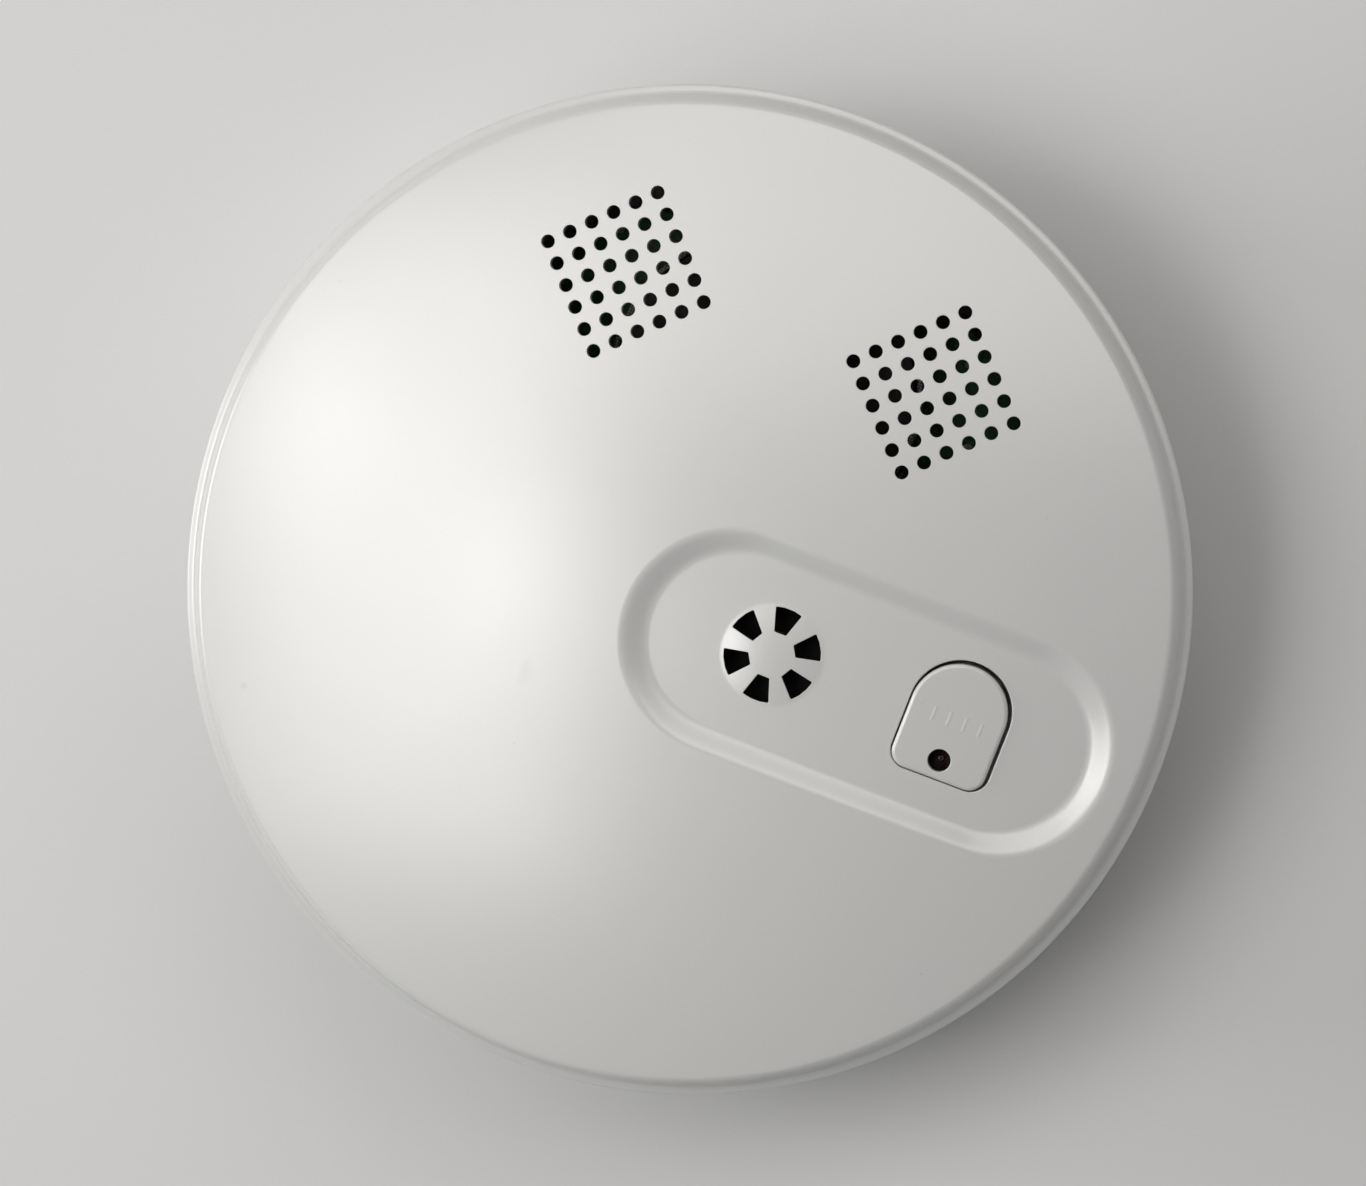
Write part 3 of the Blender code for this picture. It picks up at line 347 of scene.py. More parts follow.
class Skin:
    """A mesh made loop by loop. A vertex given a normal keeps it; the others get an average."""

    def __init__(self):
        self.points = []
        self.normals = []
        self.faces = []

    def add(self, point, normal=None):
        self.points.append(point)
        self.normals.append(normal)
        return len(self.points) - 1

    def loop(self, flat, height, normals=None):
        """One vertex over each flat point. height is a number or a function of x and y."""
        rise = as_function(height)
        given = normals or [None] * len(flat)
        return [self.add((x, y, rise(x, y)), n) for (x, y), n in zip(flat, given)]

    def strip(self, upper, lower):
        """Quads between two loops, facing away from the inside of a counter-clockwise loop."""
        for i in range(len(upper)):
            self.faces.append((upper[i - 1], lower[i - 1], lower[i], upper[i]))

    def strips(self, loops):
        for upper, lower in zip(loops, loops[1:]):
            self.strip(upper, lower)

    def cap(self, loop, up=True):
        centre = self.add(tuple(np.mean([self.points[i] for i in loop], axis=0)))
        for i in range(len(loop)):
            pair = (loop[i - 1], loop[i]) if up else (loop[i], loop[i - 1])
            self.faces.append((*pair, centre))

    def fill(self, loops, height, extra=(), up=True, spacing=0.9, exact=False):
        """Triangles inside the first loop and outside the others, over the extra flat points.

        spacing keeps the extra points that far from the loops, and exact gives them true normals."""
        rise = as_function(height)
        flat, owners, edges = [], [], []
        for loop in loops:
            start = len(flat)
            flat += [Vector(self.points[i][:2]) for i in loop]
            owners += loop
            edges += [(start + i, start + (i + 1) % len(loop)) for i in range(len(loop))]
        ends = np.array([[*flat[a], *flat[b]] for a, b in edges])
        known = KDTree(len(flat))
        for i, point in enumerate(flat):
            known.insert((point.x, point.y, 0), i)
        known.balance()
        spots = np.array(list(extra), float).reshape(-1, 2)
        for x, y in spots[odd_crossings(spots, ends)]:
            if known.find((x, y, 0))[2] > spacing:
                normal = slope_normal(height, x, y) if exact else None
                owners.append(self.add((x, y, rise(x, y)), normal))
                flat.append(Vector((x, y)))
        points, _, triangles, sources, _, _ = delaunay_2d_cdt(flat, edges, [], 0, 1e-6)
        middles = np.array([[sum(points[i][k] for i in t) / 3 for k in (0, 1)] for t in triangles])
        for triangle, wanted in zip(triangles, odd_crossings(middles, ends)):
            if not wanted:
                continue
            a, b, c = (points[i] for i in triangle)
            left = (b.x - a.x) * (c.y - a.y) - (b.y - a.y) * (c.x - a.x) > 0
            corners = [owners[sources[i][0]] for i in triangle]
            self.faces.append(tuple(corners if left == up else corners[::-1]))

    def turned(self, rows, steps, centre=(0.0, 0.0), closed=False):
        """Loops of (radius, height) rows round a vertical axis. closed joins last to first."""
        loops = [self.loop(circle(max(r, 0.02), steps, centre).points, z) for r, z in rows]
        self.strips(loops)
        if closed:
            self.strip(loops[-1], loops[0])
        return loops

    def walls(self, outline, rows):
        """Loops of (growth, height) rows along an outline, with the faces between them."""
        loops = [self.loop(outline.grown(growth), height) for growth, height in rows]
        self.strips(loops)
        return loops

    def cut(self, low, high):
        """Takes a box out of the mesh."""
        solid = self.build("solid")
        low, high = Vector(low) * MM, Vector(high) * MM
        bpy.ops.mesh.primitive_cube_add(size=1, location=(low + high) / 2, scale=high - low)
        tool = bpy.context.object
        step = solid.modifiers.new("cut", "BOOLEAN")
        step.object, step.operation, step.solver = tool, "DIFFERENCE", "EXACT"
        mesh = bpy.data.meshes.new_from_object(
            solid.evaluated_get(bpy.context.evaluated_depsgraph_get())
        )
        self.points = [tuple(c / MM for c in v.co) for v in mesh.vertices]
        self.normals = [None] * len(self.points)
        self.faces = [tuple(p.vertices) for p in mesh.polygons]
        for spare in (tool, solid):
            bpy.data.objects.remove(spare)

    def build(self, name, place=None):
        """The finished object. place turns a point of this skin into a point of the object."""
        if place:
            self.points = [place(*p) for p in self.points]
        mesh = bpy.data.meshes.new(name)
        mesh.from_pydata([tuple(c * MM for c in p) for p in self.points], [], self.faces)
        mesh.shade_smooth()
        mesh.normals_split_custom_set(self.corner_normals())
        made = bpy.data.objects.new(name, mesh)
        bpy.context.scene.collection.objects.link(made)
        return made

    def corner_normals(self, limit=38):
        """Shades smoothly across edges flatter than the limit, larger faces counting more."""
        points = np.array(self.points)
        areas = []
        for face in self.faces:
            corners = points[list(face)]
            fan = np.cross(corners[1:-1] - corners[0], corners[2:] - corners[0])
            areas.append(fan.sum(axis=0))
        areas = np.array(areas)
        sizes = np.linalg.norm(areas, axis=1)
        sizes[sizes == 0] = 1
        units = areas / sizes[:, None]
        around = [[] for _ in self.points]
        for index, face in enumerate(self.faces):
            for i in face:
                around[i].append(index)
        least = cos(radians(limit))
        result = []
        for index, face in enumerate(self.faces):
            for i in face:
                if self.normals[i] is not None:
                    result.append(self.normals[i])
                    continue
                near = around[i]
                alike = units[near] @ units[index] > least
                total = (areas[near] * alike[:, None]).sum(axis=0)
                length = np.linalg.norm(total)
                result.append(tuple(total / length) if length > 0 else (0, 0, 1))
        return result


def as_function(height):
    """A height over x and y, whether it is given as a function or as one number."""
    return height if callable(height) else lambda x, y: height


def odd_crossings(spots, ends):
    """Which flat spots lie inside an odd number of the loops whose edges are given."""
    inside = np.zeros(len(spots), bool)
    x, y = spots[:, 0], spots[:, 1]
    for x1, y1, x2, y2 in ends:
        if y1 == y2:
            continue
        spans = (y1 > y) != (y2 > y)
        inside ^= spans & (x < (x2 - x1) * (y - y1) / (y2 - y1) + x1)
    return inside


def slope_normal(height, x, y, step=0.02):
    across = (height(x + step, y) - height(x - step, y)) / (2 * step)
    along = (height(x, y + step) - height(x, y - step)) / (2 * step)
    size = sqrt(across * across + along * along + 1)
    return (-across / size, -along / size, 1 / size)


def lip_loops(skin, outline, height, radius, steps, way=1):
    """Loops that round a surface over at an outline; the first lies on the surface.

    way is 1 round an opening and -1 along the surface's own outer edge."""
    rims = outline.grown(way * radius)
    loops = []
    for k in range(steps + 1):
        turn = radians(90 * k / steps)
        flat = outline.grown(way * radius * (1 - sin(turn)))
        drop = radius * (1 - cos(turn))
        loop = []
        for (x, y), rim, (dx, dy) in zip(flat, rims, outline.directions):
            face = Vector(slope_normal(height, *rim))
            mixed = face * cos(turn) - Vector((dx, dy, 0)) * (way * sin(turn))
            loop.append(skin.add((x, y, height(x, y) - drop), tuple(mixed.normalized())))
        loops.append(loop)
    return loops


def opening(skin, outline, height, lip, steps, foot, bottom):
    """A way through a wall: its edge rounded over, then its sides down to the foot points.

    Gives its first loop, on the surface, and its last, at the bottom."""
    loops = lip_loops(skin, outline, height, lip, steps)
    loops.append(skin.loop(foot, bottom))
    skin.strips(loops[::-1])
    return loops[0], loops[-1]


def prism(skin, outline, low, high, rounding=0.25, steps=3):
    """A closed upright block with its upper and lower edges rounded over."""
    turns = [radians(90 * k / steps) for k in range(steps + 1)]
    edge = [(-rounding * (1 - sin(turn)), rounding * (1 - cos(turn))) for turn in turns]
    rows = [(growth, high - drop) for growth, drop in edge]
    rows += [(growth, low + drop) for growth, drop in reversed(edge)]
    loops = skin.walls(outline, rows)
    skin.fill([loops[0]], high)
    skin.fill([loops[-1]], low, up=False)


def hex_grid(low, high, pitch):
    """Flat points in a honeycomb over a box."""
    row_step = pitch * 0.866
    rows = int((high[1] - low[1]) / row_step) + 1
    columns = int((high[0] - low[0]) / pitch) + 1
    for j in range(rows):
        for i in range(columns):
            yield (low[0] + (i + 0.5 * (j % 2)) * pitch, low[1] + j * row_step)


# ---- front cover


def dome(x, y):
    return CASE_HEIGHT - DOME_RADIUS + sqrt(DOME_RADIUS**2 - x * x - y * y)


def outside_stadium(x, y, size):
    """Distance outside a stadium round the panel's centre, negative inside it."""
    run = size[0] - size[1]
    along = max(abs(x - PANEL_CENTRE[0]) - run, 0)
    return hypot(along, y - PANEL_CENTRE[1]) - size[1]


def ease(t, ramp=0.32):
    """0 to 1 with a straight middle and round ends, each ramp long."""
    t = min(max(t, 0), 1)
    top = 1 / (1 - ramp)
    if t < ramp:
        return top * t * t / (2 * ramp)
    if t > 1 - ramp:
        return 1 - top * (1 - t) ** 2 / (2 * ramp)
    return top * (t - ramp / 2)


def grille_rise(x, y):
    away = hypot(x - SOUNDER_CENTRE[0], y - SOUNDER_CENTRE[1])
    rise = GRILLE_RISE * (1 - (away / GRILLE_RADIUS) ** 2)
    return (rise + sqrt(rise * rise + 0.0016)) / 2


def panel_floor(x, y):
    return dome(x, y) - PANEL_DEPTH + grille_rise(x, y)


def under_cover(x, y):
    """The cover's inner surface, thicker under the panel."""
    share = ease(-outside_stadium(x, y, PAD))
    return dome(x, y) - WALL - PAD_DROP * share


def patch_holes():
    middle = (PATCH_COUNT - 1) / 2
    for x, y in PATCH_CENTRES:
        for i in range(PATCH_COUNT):
            for j in range(PATCH_COUNT):
                across = (i - middle - (j - middle)) * HOLE_PITCH / sqrt(2)
                up = (i - middle + j - middle) * HOLE_PITCH / sqrt(2)
                yield (x + across, y + up)


def slot_outlines():
    """The grille's slots, each wider outwards with a bowed outer end."""
    (inner, outer), (narrow, wide) = SLOT_ENDS, SLOT_HALF_WIDTHS
    for k in range(SLOT_COUNT):
        middle = 30 + 360 / SLOT_COUNT * k
        out = Vector(polar(1, middle))
        side = Vector(polar(1, middle + 90))
        centre = Vector(SOUNDER_CENTRE)
        half = [(inner, narrow), (outer, wide), (outer + SLOT_BOW, wide * 0.35)]
        places = [(away, -along) for away, along in half] + half[::-1]
        corners = [tuple(centre + out * away + side * along) for away, along in places]
        yield rounded_corners(corners, SLOT_CORNER, 3, 0.4)


def cover_rim_rows():
    """The band below the dome's crease, the narrow lip at its foot, the side and the inside."""
    foot = CASE_RADIUS - 1.3
    corners = [
        (CREASE_RADIUS - 0.9, dome(CREASE_RADIUS - 0.9, 0)),
        (CREASE_RADIUS + 0.02, dome(CREASE_RADIUS + 0.02, 0)),
        (CREASE_RADIUS + 1.05, LIP_Z + 0.25),
        (CASE_RADIUS, LIP_Z - 0.12),
        (CASE_RADIUS - 0.1, WIDEST_Z - 2.6),
        (foot, PARTING_Z + GAP),
        (foot - WALL, PARTING_Z + GAP),
        (CASE_RADIUS - WALL, WIDEST_Z - 1.0),
        (CREASE_RADIUS - WALL + 0.4, CREASE_Z - 2.6),
        (CREASE_RADIUS - 2.9, 0),
    ]
    return rounded_rows(corners, (0.9, 0.8, 0.45, 3.0, 0.35, 0.3, 0, 0), 6)


def panel_wall(skin):
    """Loops down the panel's rounded wall, from the dome to the panel's floor."""
    ends = list(zip(stadium(PANEL_RIM).points, stadium(PANEL_FLOOR).points))
    wall = []
    for k in range(PANEL_STEPS + 1):
        t = k / PANEL_STEPS
        flat = [(a + (c - a) * t, b + (d - b) * t) for (a, b), (c, d) in ends]
        drop = PANEL_DEPTH * ease(t)
        given = [slope_normal(dome, x, y) for x, y in flat] if k in (0, PANEL_STEPS) else None
        wall.append(skin.loop(flat, lambda x, y: dome(x, y) - drop, given))
    skin.strips(wall[::-1])
    return wall


def front_cover():
    skin = Skin()
    # outside: the dome, with the panel sunk into it
    rows = cover_rim_rows()
    crease = circle(rows[0][0], AROUND)
    normals = [slope_normal(dome, x, y) for x, y in crease.points]
    edge = skin.loop(crease.points, dome, normals)
    wall = panel_wall(skin)
    ways = []  # each opening's first loop on the outside and last loop on the inside
    for centre in patch_holes():
        outline = circle(HOLE_RADIUS, HOLE_SIDES, centre)
        foot = outline.grown(DRAFT / 2)
        ways.append(opening(skin, outline, dome, HOLE_LIP, 2, foot, under_cover))
    grid = list(hex_grid((-CASE_RADIUS, -CASE_RADIUS), (CASE_RADIUS, CASE_RADIUS), 1.7))
    skin.fill([edge, wall[0], *[way[0] for way in ways]], dome, grid, exact=True)
    # the panel's floor, with the grille and the button's window
    slots = []
    for outline in slot_outlines():
        foot = outline.grown(DRAFT)
        slots.append(opening(skin, outline, panel_floor, SLOT_LIP, 2, foot, under_cover))
    window = arch(WINDOW_GAP, WINDOW_SHIFT)
    sleeve = arch(WINDOW_GAP + SLEEVE_WALL, WINDOW_SHIFT)
    window_edge, inner_foot = opening(
        skin, window, panel_floor, WINDOW_LIP, 4, window.points, SLEEVE_BOTTOM
    )
    sleeve_top, outer_foot = skin.walls(sleeve, [(0, under_cover), (0, SLEEVE_BOTTOM)])
    skin.strip(outer_foot, inner_foot)
    first_loops = [wall[-1], window_edge, *[way[0] for way in slots]]
    skin.fill(first_loops, panel_floor, panel_points(), spacing=0.16, exact=True)
    # the band, the side and the inside
    loops = [edge] + [skin.loop(circle(r, AROUND).points, z) for r, z in rows[1:-1]]
    inner_edge = skin.loop(circle(rows[-1][0], AROUND).points, under_cover)
    skin.strips([*loops, inner_edge])
    last_loops = [inner_edge, sleeve_top, *[way[1] for way in ways + slots]]
    coarse = list(hex_grid((-CASE_RADIUS, -CASE_RADIUS), (CASE_RADIUS, CASE_RADIUS), 3.2))
    skin.fill(last_loops, under_cover, coarse, up=False)
    cover_fittings(skin)
    return skin.build("cover_shell")


def panel_points():
    """Points over the panel's floor, in rings about the grille so that its edge stays round."""
    rings = [(r, 7.5 * i) for r in (5.35, GRILLE_RADIUS, 5.7, 6.0) for i in range(48)]
    rings += [(r, 15 * i) for r in (0.7, 1.4, 2.0) for i in range(24)]
    for radius in (2.9, 3.5, 4.1, 4.7, 5.3):
        rings += [(radius, 60 * i + turn) for i in range(6) for turn in (-4, 0, 4)]
    points = [polar(radius, angle, SOUNDER_CENTRE) for radius, angle in rings]
    for x, y in hex_grid((-5, -15), (52, 12), 1.1):
        if hypot(x - SOUNDER_CENTRE[0], y - SOUNDER_CENTRE[1]) > GRILLE_CLEAR:
            points.append((x, y))
    return points


def cover_fittings(skin):
    """Screw bosses and the sounder's collar, which reach into the shell above them."""
    foot, top = BOSS_HEIGHTS
    for angle in COVER_SCREW_ANGLES:
        centre = polar(COVER_SCREW_RADIUS, angle)
        rows = [(0, top), (BOSS_RADIUS, top), (BOSS_RADIUS, foot + 0.3), (BOSS_RADIUS - 0.3, foot)]
        rows += [(PILOT_RADIUS + 0.2, foot), (PILOT_RADIUS, foot + 0.2)]
        rows += [(PILOT_RADIUS, PILOT_TOP), (0, PILOT_TOP)]
        skin.turned(rows, 32, centre)
    low, high = COLLAR_HEIGHTS
    inner = SOUNDER_RADIUS + 0.4
    outer = inner + COLLAR_WALL
    rows = [(inner, high), (outer, high), (outer, low), (inner, low)]
    skin.turned(rows, 64, SOUNDER_CENTRE, closed=True)


# ---- test button and light


def button_top(x, y):
    return dome(x, y) - PANEL_DEPTH + BUTTON_PROUD


def test_button():
    skin = Skin()
    body = arch()
    flange = arch(FLANGE_GROW)
    loops = lip_loops(skin, body, button_top, BUTTON_EDGE, 6, -1)
    window = circle(LED_WINDOW_RADIUS, 32, LED_CENTRE)
    bore = circle(LED_BORE_RADIUS, 32, LED_CENTRE)
    lip = lip_loops(skin, window, button_top, 0.1, 3)
    extra = list(hex_grid((26, -9), (40, 6), 0.8))
    skin.fill([loops[0], lip[0]], button_top, extra, spacing=0.5, exact=True)
    side = [*loops, skin.loop(body.points, FLANGE_TOP)]
    side += [skin.loop(flange.points, FLANGE_TOP), skin.loop(flange.points, BUTTON_BASE_Z)]
    skin.strips(side)
    down = [*lip, skin.loop(window.points, LED_BORE_TOP)]
    down += [skin.loop(bore.points, LED_BORE_TOP), skin.loop(bore.points, BUTTON_BASE_Z)]
    skin.strips(down[::-1])
    stem = circle(STEM_RADIUS, 32, (BUTTON_CENTRE_X, STEM_Y))
    stem_rows = [(0, BUTTON_BASE_Z), (0, STEM_BOTTOM + 0.3), (-0.3, STEM_BOTTOM)]
    root, _, tip = skin.walls(stem, stem_rows)
    skin.fill([side[-1], down[-1], root], BUTTON_BASE_Z, up=False)
    skin.cap(tip, up=False)
    for x in RIB_PLACES:
        touch_rib(skin, x)
    return skin.build("button_cap")


def touch_rib(skin, x):
    """A short low rib on the button that a fingertip can feel."""
    low, high = RIB_ENDS
    half = RIB_HALF_WIDTH
    outline = rounded_box((x - half, low), (x + half, high), half * 0.9, 4)
    rows = [
        (-half * 0.75, lambda px, py: button_top(px, py) + RIB_RISE),
        (0, button_top),
        (0.05, lambda px, py: button_top(px, py) - 0.1),
    ]
    crown, _, root = skin.walls(outline, rows)
    skin.cap(crown)
    skin.cap(root, up=False)


def status_light():
    skin = Skin()
    low, high = LED_HEIGHTS
    rim = LED_RADIUS + LED_FOOT
    bend = [radians(a) for a in range(0, 91, 10)]
    rows = [(LED_RADIUS * sin(a), high - LED_RADIUS * (1 - cos(a))) for a in bend]
    rows += [(LED_RADIUS, low + 0.9), (rim, low + 0.8), (rim, low), (0, low)]
    skin.turned(rows, 32, LED_CENTRE)
    for side in LED_LEG_PLACES:
        x, y = LED_CENTRE[0] + side, LED_CENTRE[1]
        leg = rounded_box((x - LED_LEG, y - LED_LEG), (x + LED_LEG, y + LED_LEG), 0.06, 2)
        loops = skin.walls(leg, [(0, low + 0.5), (0, ON_BOARD)])
        skin.cap(loops[0])
        skin.cap(loops[1], up=False)
    return skin.build("status_light_lens")


def return_spring():
    """The coil under the button, from the board up, with its end turns closed up."""
    skin = Skin()
    rise = SPRING_TOP - ON_BOARD - 2 * SPRING_WIRE
    steps = 40 * SPRING_TURNS
    middles = []
    for i in range(steps + 1):
        x, y = polar(SPRING_RADIUS, 360 * SPRING_TURNS * i / steps, (BUTTON_CENTRE_X, STEM_Y))
        middles.append(Vector((x, y, ON_BOARD + SPRING_WIRE + rise * ease(i / steps, 0.2))))
    rings = []
    for i, middle in enumerate(middles):
        along = (middles[min(i + 1, steps)] - middles[max(i - 1, 0)]).normalized()
        outward = Vector((*polar(1, 360 * SPRING_TURNS * i / steps), 0))
        side = along.cross(outward).normalized()
        ring = []
        for k in range(12):
            a = radians(30 * k)
            way = outward * cos(a) + side * sin(a)
            ring.append(skin.add(tuple(middle + way * SPRING_WIRE), tuple(way)))
        rings.append(ring)
    skin.strips(rings[::-1])
    skin.cap(rings[-1])
    skin.cap(rings[0], up=False)
    return skin.build("return_spring")


# ---- rear housing


def rear_shell():
    skin = Skin()
    inner, outer = TONGUE_RADII
    corners = [
        (inner - 0.4, BACK_TOP),
        (inner, BACK_TOP),
        (inner, TONGUE_TOP),
        (outer, TONGUE_TOP),
        (outer, PARTING_Z),
        (CASE_RADIUS - 1.3, PARTING_Z),
        (SKIRT_RADIUS + 0.25, SKIRT_BOTTOM + 2),
        (SKIRT_RADIUS - 0.3, SKIRT_BOTTOM),
        (SKIRT_RADIUS - WALL, SKIRT_BOTTOM),
        (SKIRT_RADIUS - WALL, BACK_BOTTOM),
        (SKIRT_RADIUS - WALL - 1.4, BACK_BOTTOM),
    ]
    rows = rounded_rows(corners, (0.3, 0.2, 0.3, 0, 0.4, 3.0, 0.4, 0.4, 0.6), 4)
    loops = skin.turned(rows, AROUND)
    tops, bottoms = rear_posts(skin)
    tops += [loops[0], bay_outside(skin)]
    bottoms += [loops[-1], bay_inside(skin)]
    grid = list(hex_grid((-50, -50), (50, 50), 6))
    skin.fill(tops, BACK_TOP, grid)
    skin.fill(bottoms, BACK_BOTTOM, grid, up=False)
    skin.cut(NOTCH_LOW, NOTCH_HIGH)
    for angle in LOCK_ANGLES:
        low, high = HOOK_RADII
        prism(skin, sector((low + 0.1, low + 2.0), angle, HOOK_HALF_ANGLE - 0.15), 2.6, 6.4, 0.05)
        prism(skin, sector((low, high), angle, HOOK_HALF_ANGLE), HOOK_BOTTOM, HOOK_TOP, 0.25)
    return skin.build("rear_shell")


def rear_posts(skin):
    """Screw posts and board rests. Gives their loops on the back's inner and outer faces."""
    tops, bottoms = [], []
    for angle in COVER_SCREW_ANGLES:
        rows = [(3.35, BACK_BOTTOM), (3.1, BACK_BOTTOM + 0.25), (3.1, 8.4), (1.75, 8.4)]
        rows += [(1.75, 12.0), (3.4, 12.0), (3.6, 11.8), (3.6, BACK_TOP)]
        post = skin.turned(rows, 40, polar(COVER_SCREW_RADIUS, angle))
        bottoms.append(post[0])
        tops.append(post[-1])
    for centre in BOARD_SCREWS:
        rows = [(0, 8.4), (1.4, 8.4), (1.4, POST_TOP), (2.5, POST_TOP), (2.7, POST_TOP - 0.2)]
        tops.append(skin.turned([*rows, (2.7, BACK_TOP)], 32, centre)[-1])
    for centre in BOARD_RESTS:
        rows = [(0, POST_TOP), (1.6, POST_TOP), (1.8, POST_TOP - 0.2), (1.8, BACK_TOP)]
        tops.append(skin.turned(rows, 24, centre)[-1])
    return tops, bottoms


def bay_outside(skin):
    low = (BAY_LOW[0] - BAY_WALL, BAY_LOW[1] - BAY_WALL)
    high = (BAY_HIGH[0] + BAY_WALL, BAY_HIGH[1] + BAY_WALL)
    outline = rounded_box(low, high, 2.0)
    top = BAY_ROOF + BAY_WALL
    loops = skin.walls(outline, [(-0.4, top), (-0.1, top - 0.1), (0, top - 0.4), (0, BACK_TOP)])
    skin.fill([loops[0]], top)
    return loops[-1]


def bay_inside(skin):
    outline = rounded_box(BAY_LOW, BAY_HIGH, 1.0)
    foot = BACK_BOTTOM
    loops = skin.walls(outline, [(0.3, foot), (0.09, foot + 0.09), (0, foot + 0.3), (0, BAY_ROOF)])
    skin.fill([loops[-1]], BAY_ROOF, up=False)
    return loops[0]


# ---- bracket


def bracket():
    skin = Skin()
    plate, rim = BRACKET_PLATE, BRACKET_RADIUS - BRACKET_RIM
    outside = [
        (rim - 0.8, plate),
        (rim, plate),
        (rim, BRACKET_RIM_TOP),
        (BRACKET_RADIUS, BRACKET_RIM_TOP),
        (BRACKET_RADIUS, 0),
        (BRACKET_RADIUS - 0.9, 0),
    ]
    inside = [(BRACKET_OPENING + 0.8, 0), (BRACKET_OPENING, 0)]
    inside += [(BRACKET_OPENING, plate + 0.6), (BRACKET_OPENING + 1.4, plate + 0.6)]
    inside += [(BRACKET_OPENING + 1.4, plate), (BRACKET_OPENING + 2.2, plate)]
    outer = skin.turned(rounded_rows(outside, (0.4, 0.4, 0.4, 0.5), 4), AROUND)
    inner = skin.turned(rounded_rows(inside, (0.4, 0.3, 0.3, 0.3), 4), AROUND)
    tops, bottoms = [outer[0], inner[-1]], [outer[-1], inner[0]]
    for angle in LOCK_ANGLES:
        slot = arc_slot(SCREW_SLOT_RADIUS, SCREW_SLOT_WIDTH, angle + 45, 12.0)
        loops = skin.walls(slot, [(0.2, 0), (0, 0.2), (0, plate - 0.2), (0.2, plate)])
        bottoms.append(loops[0])
        tops.append(loops[-1])
    grid = list(hex_grid((-50, -50), (50, 50), 4))
    skin.fill(tops, plate, grid)
    skin.fill(bottoms, 0.0, grid, up=False)
    low, high = LUG_RADII
    for angle in LOCK_ANGLES:
        wall = sector((high - 1.6, high - 0.1), angle, LUG_HALF_ANGLE - 0.1)
        stop = sector((low + 0.1, high - 0.2), angle - LUG_HALF_ANGLE - 0.9, 1.3, 3)
        prism(skin, wall, plate - 0.5, LUG_TOP - 0.4, 0.05)
        prism(skin, stop, plate - 0.6, LUG_TOP - 0.2, 0.2)
        prism(skin, sector(LUG_RADII, angle, LUG_HALF_ANGLE), LUG_FLANGE_BOTTOM, LUG_TOP, 0.25)
    return skin.build("ceiling_bracket")


# ---- battery


def battery_jacket():
    """Drawn standing on its end and then laid along x: a jacket crimped over both end plates."""
    low = (BATTERY_LOW[1], BATTERY_LOW[2])
    high = (BATTERY_HIGH[1], BATTERY_HIGH[2])
    outline = rounded_box(low, high, 2.4, 8, 4.0)
    top, bottom = BATTERY_HIGH[0], BATTERY_LOW[0]
    skin = Skin()
    crimp = [(-1.5, 0.5), (-1.4, 0.45), (-1.25, 0.1), (-1.0, 0.0), (-0.6, 0.0)]
    crimp += [(-0.3, 0.08), (-0.08, 0.3), (0.0, 0.6), (0.0, 1.5), (-0.12, 1.75), (-0.12, 2.1)]
    crimp += [(0.0, 2.35)]
    rows = [(growth, top - depth) for growth, depth in crimp]
    rows += [(growth, bottom + depth) for growth, depth in reversed(crimp)]
    loops = skin.walls(outline, rows)
    skin.fill([loops[0]], top - 0.5)
    skin.fill([loops[-1]], bottom + 0.5, up=False)
    return skin.build("battery_jacket", lambda y, z, x: (x, y, z))


# ---- materials


